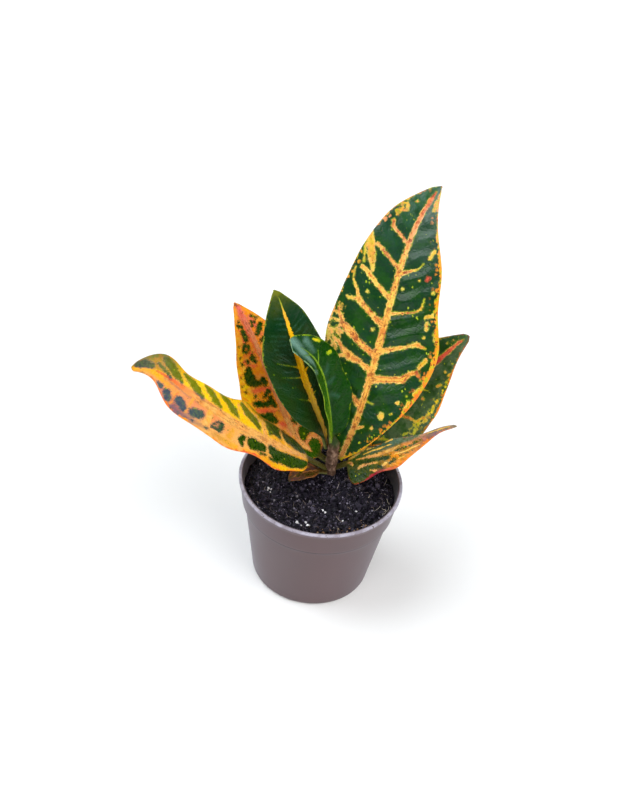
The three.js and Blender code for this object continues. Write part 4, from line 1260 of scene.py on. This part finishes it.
class LeafFinish(Finish):
    """The skin of one leaf, painted in layers. Its mesh gives s and a, the place on the leaf, and
    how deep a place lies inside the pale strokes, the dark blotches, the soft patches and painted
    glints, and the margin.
    Noise makes these depths ragged, and each layer begins where its own depth passes 0."""

    def __init__(self, name):
        super().__init__(name + "_surface")
        self.leaf = LEAVES[name]
        self.marks = marks_of(name)
        self.place = self.attribute("place")
        self.s, self.a, self.apart = self.split(self.place)
        self.run, self.number, self.half = self.split(self.attribute("run"))
        self.under = self.attribute("under", "Fac")
        self.cloud = self.noise(self.place, 0.22, 3, 0.6)
        self.fine = self.noise(self.place, 1.1, 4, 0.7)
        self.ragged = self.centred(self.noise(self.place, 0.8, 3, 0.6))
        self.jagged = self.centred(self.noise(self.place, 3.2, 2, 0.6))
        self.crooked = self.join(self.times_plus(self.ragged, 2.4, self.s),
                                 self.times_plus(self.jagged, 1.4, self.a), self.apart)
        self.measure()

    def tint(self, layer):
        return self.attribute(layer + "_tint", "Color")

    def measure(self):
        """The ragged depths, and flat: 1 on spots and laces, 0 on veins."""
        pale, dark, margin = self.split(self.attribute("paint"))
        wobble = self.times_plus(self.ragged, self.marks["ragged"], self.times(self.jagged, 0.8))
        broken = self.times(self.centred(self.cloud), 3)
        self.pale = self.times_plus(wobble, self.ease(self.half, 0.05, 0.6, 0.1, 1), pale)
        self.dark = self.times_plus(self.jagged, 1.2, self.times_plus(wobble, 1.2, dark))
        self.margin = self.math("ADD", self.times_plus(wobble, 1.6, broken), margin)
        self.flush_and_glint = self.times_plus(wobble, 1.5, self.attribute("flush_and_glint", "Fac"))
        veins = len(self.marks["veins"])
        self.flat = self.ease(self.number, veins - 0.6, veins - 0.4)
        if self.marks["laces"]:
            thread = self.times_plus(self.cells(self.crooked, 0.3)["Distance"], -3, 0.4)
            thread = self.times_plus(wobble, 1.2, thread)
            region = self.times_plus(wobble, 3, self.attribute("lace", "Fac"))
            region = self.math("ADD", region, self.times(broken, 1.6))
            lace = self.math("MINIMUM", thread, region)
            laced = self.ease(self.math("SUBTRACT", lace, self.pale), -0.1, 0.2)
            self.flat = self.math("MAXIMUM", self.flat, laced)
            self.pale = self.math("MAXIMUM", self.pale, lace)

    def ground(self):
        """The colour between the veins: clouds, soft patches and painted glints, a halo along the veins,
        specks, rusty freckles by the veins, and dots of the margin's colour near it."""
        marks = self.marks
        colour = self.tint("ground")
        for cloudy, share, size in marks["clouds"]:
            patch = self.patches(self.place, (1 / size, 3, 0.6), 0.44, 0.6, 0, share)
            colour = self.paint(patch, colour, cloudy)
        # Soft patches of the ground's own colour, and on some leaves painted glints and sheen.
        if marks["flushes_and_glints"]:
            flush_and_glint_share = self.ease(self.flush_and_glint, -marks["soft"], marks["soft"], 0, 0.85)
            colour = self.mix(flush_and_glint_share, colour, self.tint("flush_and_glint"))
        halo, share = marks["halo"]
        patchy = self.patches(self.place, (0.5, 2, 0.5), 0.42, 0.56, 0.15, share)
        colour = self.paint(self.times(self.ease(self.pale, -0.5, 0), patchy), colour, halo)
        speck, share = marks["speck"]
        colour = self.paint(self.dots(self.crooked, 0.8, share, 0.3), colour, speck)
        freckled = self.times(self.ease(self.pale, -1, -0.2), self.dots(self.crooked, 1.5, 0.6, 0.36))
        colour = self.paint(self.times(freckled, 0.8 * marks["freckles"]), colour, "crimson")
        near = self.ease(self.margin, -3.2, -0.4, 0, marks["edging"])
        blobs = self.times(self.dots(self.crooked, 0.55, 0.8, 0.5), near)
        return self.mix(blobs, colour, self.tint("margin"))

    def veins(self, colour):
        """The pale strokes over the ground. Thin ones, and patches of the flat ones, take the
        thin colour. All have pale edges, streaked middles, and rusty dashes, rims and dots, and
        the flat ones less of them."""
        marks = self.marks
        strand = self.join(self.times(self.run, 0.25), self.times(self.pale, 1.2),
                           self.times_plus(self.number, 5, self.apart))
        clean = self.times_plus(self.flat, -0.6, 1)
        vein = self.paint(self.ease(self.half, 0.2, 0.45, 0.9, 0), self.tint("pale"), marks["thin"])
        limed = self.patches(self.place, (0.45, 2, 0.5), 0.42, 0.56, 0, 0.45)
        vein = self.paint(self.times(self.flat, limed), vein, marks["thin"])
        edge, share = marks["edge"]
        edged = self.times(self.ease(self.pale, 0, 0.4, share, 0), self.ease(self.half, 0.35, 0.6))
        vein = self.paint(edged, vein, edge)
        streak, share = marks["streak"]
        middle = self.times(self.patches(strand, (1, 3, 0.6), 0.48, 0.58, 0, share), clean)
        vein = self.paint(self.times(middle, self.ease(self.pale, 0.1, 0.4)), vein, streak)
        rust = marks["freckles"]
        reddened = self.times(self.ease(self.cloud, 0.38, 0.58, 0.3 * rust, rust), clean)
        rims = self.times(self.ease(self.pale, 0.5, 0.25), self.patches(strand, (0.7, 3, 0.7), 0.47, 0.54))
        vein = self.paint(self.times(rims, reddened), vein, "crimson")
        dashes = self.times(self.ease(self.pale, 0.1, 0.3), self.patches(strand, (1.7, 2, 0.6), 0.5, 0.57))
        vein = self.paint(self.times(dashes, reddened), vein, "rust")
        vein = self.paint(self.dots(self.crooked, 1.1, 0.5 * rust, 0.4), vein, "rust")
        return self.mix(self.ease(self.pale, -0.06, 0.1), colour, vein)

    def blotches(self, colour):
        """The dark patches: a faint ring round each, and flecks and lime dots on it."""
        ring, share = self.marks["ring"]
        colour = self.paint(self.ease(self.dark, -0.45, -0.1, 0, share), colour, ring)
        fleck, share = self.marks["dark_fleck"]
        blotch = self.paint(self.ease(self.fine, 0.45, 0.62, 0, share), self.tint("dark"), fleck)
        blotch = self.paint(self.dots(self.crooked, 0.8, 0.3, 0.34), blotch, "lime")
        return self.mix(self.ease(self.dark, -0.06, 0.1), colour, blotch)

    def edges(self, colour):
        """The margin with its patches and rusty dots, the stalk, and the paler underside."""
        marks = self.marks
        rim, share = marks["rim"]
        patchy = self.patches(self.place, (0.6, 3, 0.6), 0.46, 0.56, 0, share)
        band = self.paint(patchy, self.tint("margin"), rim)
        band = self.paint(self.dots(self.crooked, 1, 0.6 * marks["freckles"], 0.4), band, "rust")
        colour = self.mix(self.ease(self.margin, -0.1, 0.12), colour, band)
        stalk_end = self.leaf["blade_start"] * self.leaf["length"]
        stalk = self.ease(self.s, stalk_end - 1, stalk_end + 2, marks["stalk"], 0)
        colour = self.paint(stalk, colour, "brown")
        # A share of brown painted over the whole leaf as shade.
        colour = self.paint(marks["dim"], colour, "shade_umber")
        return self.paint(self.times(self.under, 0.42), colour, "sage")

    def skin(self):
        """The height of fine ribs that lean forward, of a net of cells, and of grain."""
        spacing, height = self.marks["ribs"]
        lean = self.times_plus(self.math("ABSOLUTE", self.a), -self.marks["lean"], self.s)
        across = self.join(lean, self.times(self.a, 0.25), self.apart)
        ribs = self.noise(across, 1 / spacing, 2, 0.5)
        net = self.ease(self.cells(self.place, 0.6)["Distance"], 0, 0.22)
        return self.times_plus(ribs, height, self.times_plus(net, 0.2, self.times(self.fine, 0.3)))


def leaf_finish(name):
    """A glossy blade in its layers of paint, duller on its underside."""
    leaf = LeafFinish(name)
    colour = leaf.veins(leaf.ground())
    if leaf.marks["blotches"]:
        colour = leaf.blotches(colour)
    colour = leaf.edges(colour)
    shine, rough = leaf.marks["gloss"]
    roughness = leaf.ease(leaf.fine, 0.3, 0.7, rough - 0.05, rough + 0.05)
    return leaf.set(Base_Color=colour, Roughness=leaf.times_plus(leaf.under, 0.25, roughness),
                    Normal=leaf.bump(leaf.skin(), 0.0005, 0.7), Specular_IOR_Level=shine)


def pot_finish():
    """Matte moulded plastic: a warm grey, faintly clouded, with painted cool light high on the left,
    velvety at its sides, with painted shade under the collar, a lip paler from wear and a painted
    highlight, and soil dust on its inner wall."""
    pot = Finish("grey_plastic")
    place = pot.object_place()
    x, y, z = pot.split(place)
    top = POT_HEIGHT * MM
    side = LIP_RADIUS * MM
    collar = COLLAR_FOOT_HEIGHT * MM
    cloud = pot.noise(place, 45, 2, 0.5)
    colour = pot.paint(pot.ease(cloud, 0.3, 0.7), shade("plastic"), "plastic_cloud")
    nx, ny, _ = pot.split(pot.node("ShaderNodeNewGeometry").outputs["Normal"])
    outward = pot.times_plus(x, nx, pot.times(y, ny))
    inner = pot.times(pot.ease(outward, -0.012, -0.002, 1, 0),
                      pot.ease(z, top - 0.0051, top - 0.0001, 1, 0.7))
    dust = pot.patches(place, (420, 4, 0.7), 0.34, 0.52)
    colour = pot.paint(pot.times(inner, dust), colour, "plastic_dusty")
    # Painted cool light on the upper left of the pot.
    cool = pot.times(pot.ease(x, -side, 0, 0.5, 0), pot.ease(z, 0.02, 0.044))
    colour = pot.paint(cool, colour, "plastic_cool_light")
    reach = pot.math("POWER", pot.times_plus(x, x, pot.times(y, y)), 0.5)
    lip = pot.ease(z, top - 0.001, top - 0.0001)
    crusted = pot.times(lip, pot.ease(reach, side - 0.0012, side - 0.0008, 0.7, 0))
    colour = pot.paint(pot.times(crusted, dust), colour, "plastic_crusted")
    # The lip's outer edge: paler from wear, and a painted highlight.
    worn_and_highlight = pot.times(lip, pot.patches(place, (300, 3, 0.6), 0.3, 0.6, 0.5, 1))
    worn_and_highlight = pot.times(worn_and_highlight, pot.ease(reach, side - 0.0013, side - 0.0008))
    colour = pot.paint(worn_and_highlight, colour, "plastic_worn_highlight")
    specks = pot.times(worn_and_highlight, pot.patches(place, (900, 2, 0.6), 0.62, 0.68))
    colour = pot.paint(specks, colour, "plastic_specked")
    step = pot.times(pot.ease(z, collar - 0.001, collar - 0.0006),
                     pot.ease(z, collar + 0.0006, collar + 0.0001))
    colour = pot.paint(pot.times(step, 0.75), colour, "plastic_shaded")
    roughness = pot.math("ADD", pot.ease(cloud, 0.3, 0.7, 0.42, 0.5), pot.ease(step, 0, 1, 0, 0.35))
    return pot.set(Base_Color=colour, Roughness=roughness,
                   Normal=pot.bump(pot.noise(place, 2600, 2, 0.6), 0.00002, 0.5),
                   Specular_IOR_Level=0.35, Sheen_Weight=0.2, Sheen_Roughness=0.45,
                   Sheen_Tint=(0.8, 0.85, 1, 1))


def soil_finish():
    """Damp peat: dark, with paler flecks and a rough grain."""
    soil = Finish("damp_peat")
    place = soil.object_place()
    colour = soil.paint(soil.patches(place, (1300, 4, 0.75), 0.46, 0.66), shade("peat"), "peat_fleck")
    return soil.set(Base_Color=colour, Roughness=0.8, Specular_IOR_Level=0.4,
                    Normal=soil.bump(soil.noise(place, 1500, 4, 0.7), 0.0003, 0.8))


# Tones of the loose bits: where each begins on the way from 0 to 1, and its colour
CRUMB_TONES = [(0, (6, 5, 11)), (0.45, (25, 22, 33)), (0.8, (74, 68, 84)), (1, (140, 134, 150))]
CHIP_TONES = [(0, (92, 64, 44)), (0.6, (160, 118, 80)), (1, (222, 192, 150))]
PERLITE_TONES = [(0, (84, 78, 82)), (0.5, (160, 154, 160)), (1, (246, 244, 246))]
FIBRE_TONES = [(0, (40, 34, 38)), (0.4, (84, 74, 78)), (0.75, (138, 122, 112)), (1, (226, 212, 192))]


def toned_finish(name, tones, roughness, bump):
    """Loose bits: each has one tone from dark to pale, with a little noise over it."""
    bits = Finish(name)
    grain = bits.noise(bits.object_place(), 1400, 3, 0.6)
    tone = bits.math("ADD", bits.attribute("tone", "Fac"), bits.times(bits.centred(grain), 0.25))
    colour = opaque(tones[0][1])
    for (start, _), (end, rgb) in zip(tones, tones[1:]):
        colour = bits.mix(bits.ease(tone, start, end), colour, opaque(rgb))
    return bits.set(Base_Color=colour, Roughness=roughness, Normal=bits.bump(grain, bump, 0.8))


def stem_finish():
    """Young bark: brown-grey with pale flakes, greener towards the bud."""
    stem = Finish("bark_skin")
    place = stem.object_place()
    flakes = stem.patches(place, (700, 4, 0.7, (1, 1, 0.5)), 0.42, 0.66)
    colour = stem.paint(flakes, shade("bark"), "bark_flake")
    height = stem.split(place)[2]
    colour = stem.paint(stem.ease(height, 0.0525, 0.056, 0, 0.8), colour, "deep_green")
    streaks = stem.noise(place, 1200, 3, 0.7, (1, 1, 0.35))
    return stem.set(Base_Color=colour, Roughness=0.75, Normal=stem.bump(streaks, 0.0002, 0.8))


def floor_finish():
    """Near white, in a mild mixture of two shades."""
    floor = Finish("pale_floor")
    share = floor.patches(floor.object_place(), (2, 3, 0.6), 0.35, 0.65)
    return floor.set(Base_Color=floor.paint(share, shade("floor"), "floor_pale"), Roughness=0.7)


# Stage

def make_camera():
    """Looks from its place to its target, rolled about its own axis."""
    data = bpy.data.cameras.new("camera")
    data.sensor_width = 36
    data.lens = CAMERA_LENS
    camera = new_object("camera", data)
    back = (Vector(CAMERA_PLACE) - Vector(CAMERA_TARGET)).normalized()
    level = Vector((0, 0, 1)).cross(back).normalized()
    upright = back.cross(level)
    roll = math.radians(CAMERA_ROLL)
    right = math.cos(roll) * level + math.sin(roll) * upright
    above = -math.sin(roll) * level + math.cos(roll) * upright
    turn = Matrix((right, above, back)).transposed().to_4x4()
    camera.matrix_world = Matrix.Translation(Vector(CAMERA_PLACE)) @ turn
    bpy.context.scene.camera = camera


def make_floor():
    """A wide round pale floor."""
    angles = 2 * np.pi * np.arange(STAGE_SIDES) / STAGE_SIDES
    points = STAGE_RADIUS * np.stack([np.cos(angles), np.sin(angles), 0 * angles], -1)
    floor = make_mesh("floor", points, [list(range(STAGE_SIDES))])
    floor.data.materials.append(floor_finish())


def make_backdrop():
    """A far white surround for the camera alone: no light comes from it and none is mirrored."""
    points, faces = ball(4)
    backdrop = make_mesh("backdrop", points * BACKDROP_RADIUS, [face[::-1].tolist() for face in faces])
    white = Finish("backdrop_white")
    white.set(Base_Color=(0, 0, 0, 1), Emission_Color=(1, 1, 1, 1), Emission_Strength=1,
              Specular_IOR_Level=0)
    backdrop.data.materials.append(white.material)
    backdrop.visible_diffuse = False
    backdrop.visible_glossy = False
    backdrop.visible_transmission = False
    backdrop.visible_shadow = False


def soft_sun(name, place, width, strength, colour, mirrored):
    """Even light from one side of the plant, as wide in the sky as the given angle."""
    data = bpy.data.lights.new(name, "SUN")
    data.angle = math.radians(width)
    data.energy = strength
    data.color = colour
    lamp = new_object(name, data)
    lamp.location = place
    lamp.rotation_euler = Vector(place).to_track_quat("Z", "Y").to_euler()
    lamp.visible_glossy = mirrored


def make_light():
    """A dim even surround, a broad cool light from the left and soft fills right and in front."""
    world = bpy.data.worlds.new("surround")
    world.use_nodes = True
    background = world.node_tree.nodes["Background"]
    background.inputs["Color"].default_value = (0.9, 0.95, 1, 1)
    background.inputs["Strength"].default_value = 0.25
    world.cycles_visibility.glossy = False
    bpy.context.scene.world = world
    soft_sun("light_left", (-0.565, 0.1, 0.82), 50, 2.2, (0.92, 0.97, 1), True)
    soft_sun("light_right", (0.6, -0.35, 0.6), 60, 2.3, (1, 0.99, 0.97), False)
    soft_sun("light_front", (-0.3, -0.8, 0.5), 60, 1.0, (1, 0.99, 0.97), False)
    bpy.context.scene.view_settings.view_transform = "Standard"


# The object

def add(piece, material, node):
    """A finished piece: its material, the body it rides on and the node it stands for."""
    piece.data.materials.clear()
    piece.data.materials.append(material)
    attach(piece, "root")
    if node:
        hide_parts(node)


LEAF_SLOTS = {
    "leaf_tall": "leaf_dark_green",
    "leaf_right": "leaf_grey_green",
    "leaf_low_right": "leaf_mottled",
    "leaf_centre": "leaf_dark_green",
    "leaf_back_left": "leaf_orange",
    "leaf_low_left": "leaf_yellow",
    "leaf_young": "leaf_young_green",
    "leaf_small": "leaf_mottled",
}

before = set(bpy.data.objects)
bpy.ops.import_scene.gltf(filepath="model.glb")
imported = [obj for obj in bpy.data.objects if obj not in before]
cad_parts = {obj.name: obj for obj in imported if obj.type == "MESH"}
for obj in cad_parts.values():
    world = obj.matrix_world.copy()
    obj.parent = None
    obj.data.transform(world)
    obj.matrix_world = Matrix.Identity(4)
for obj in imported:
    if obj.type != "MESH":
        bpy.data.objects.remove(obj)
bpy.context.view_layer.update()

make_camera()
make_floor()
make_backdrop()
make_light()

for leaf_name, leaf_slot in LEAF_SLOTS.items():
    add(painted_leaf(leaf_name), leaf_finish(leaf_name), leaf_name)
add(pot_shell(), pot_finish(), "pot")
add(soil_body(), soil_finish(), "soil")
add(soil_crumbs(), toned_finish("peat_bits", CRUMB_TONES, 0.75, 0.0001), None)
add(bark_bits(), toned_finish("bark_chips", CHIP_TONES, 0.75, 0.0001), None)
add(perlite_grains(), toned_finish("perlite", PERLITE_TONES, 0.85, 0.0001), None)
add(peat_fibres(), toned_finish("dry_fibre", FIBRE_TONES, 0.7, 0.00005), None)
add(stem_shoot(), stem_finish(), "stem")
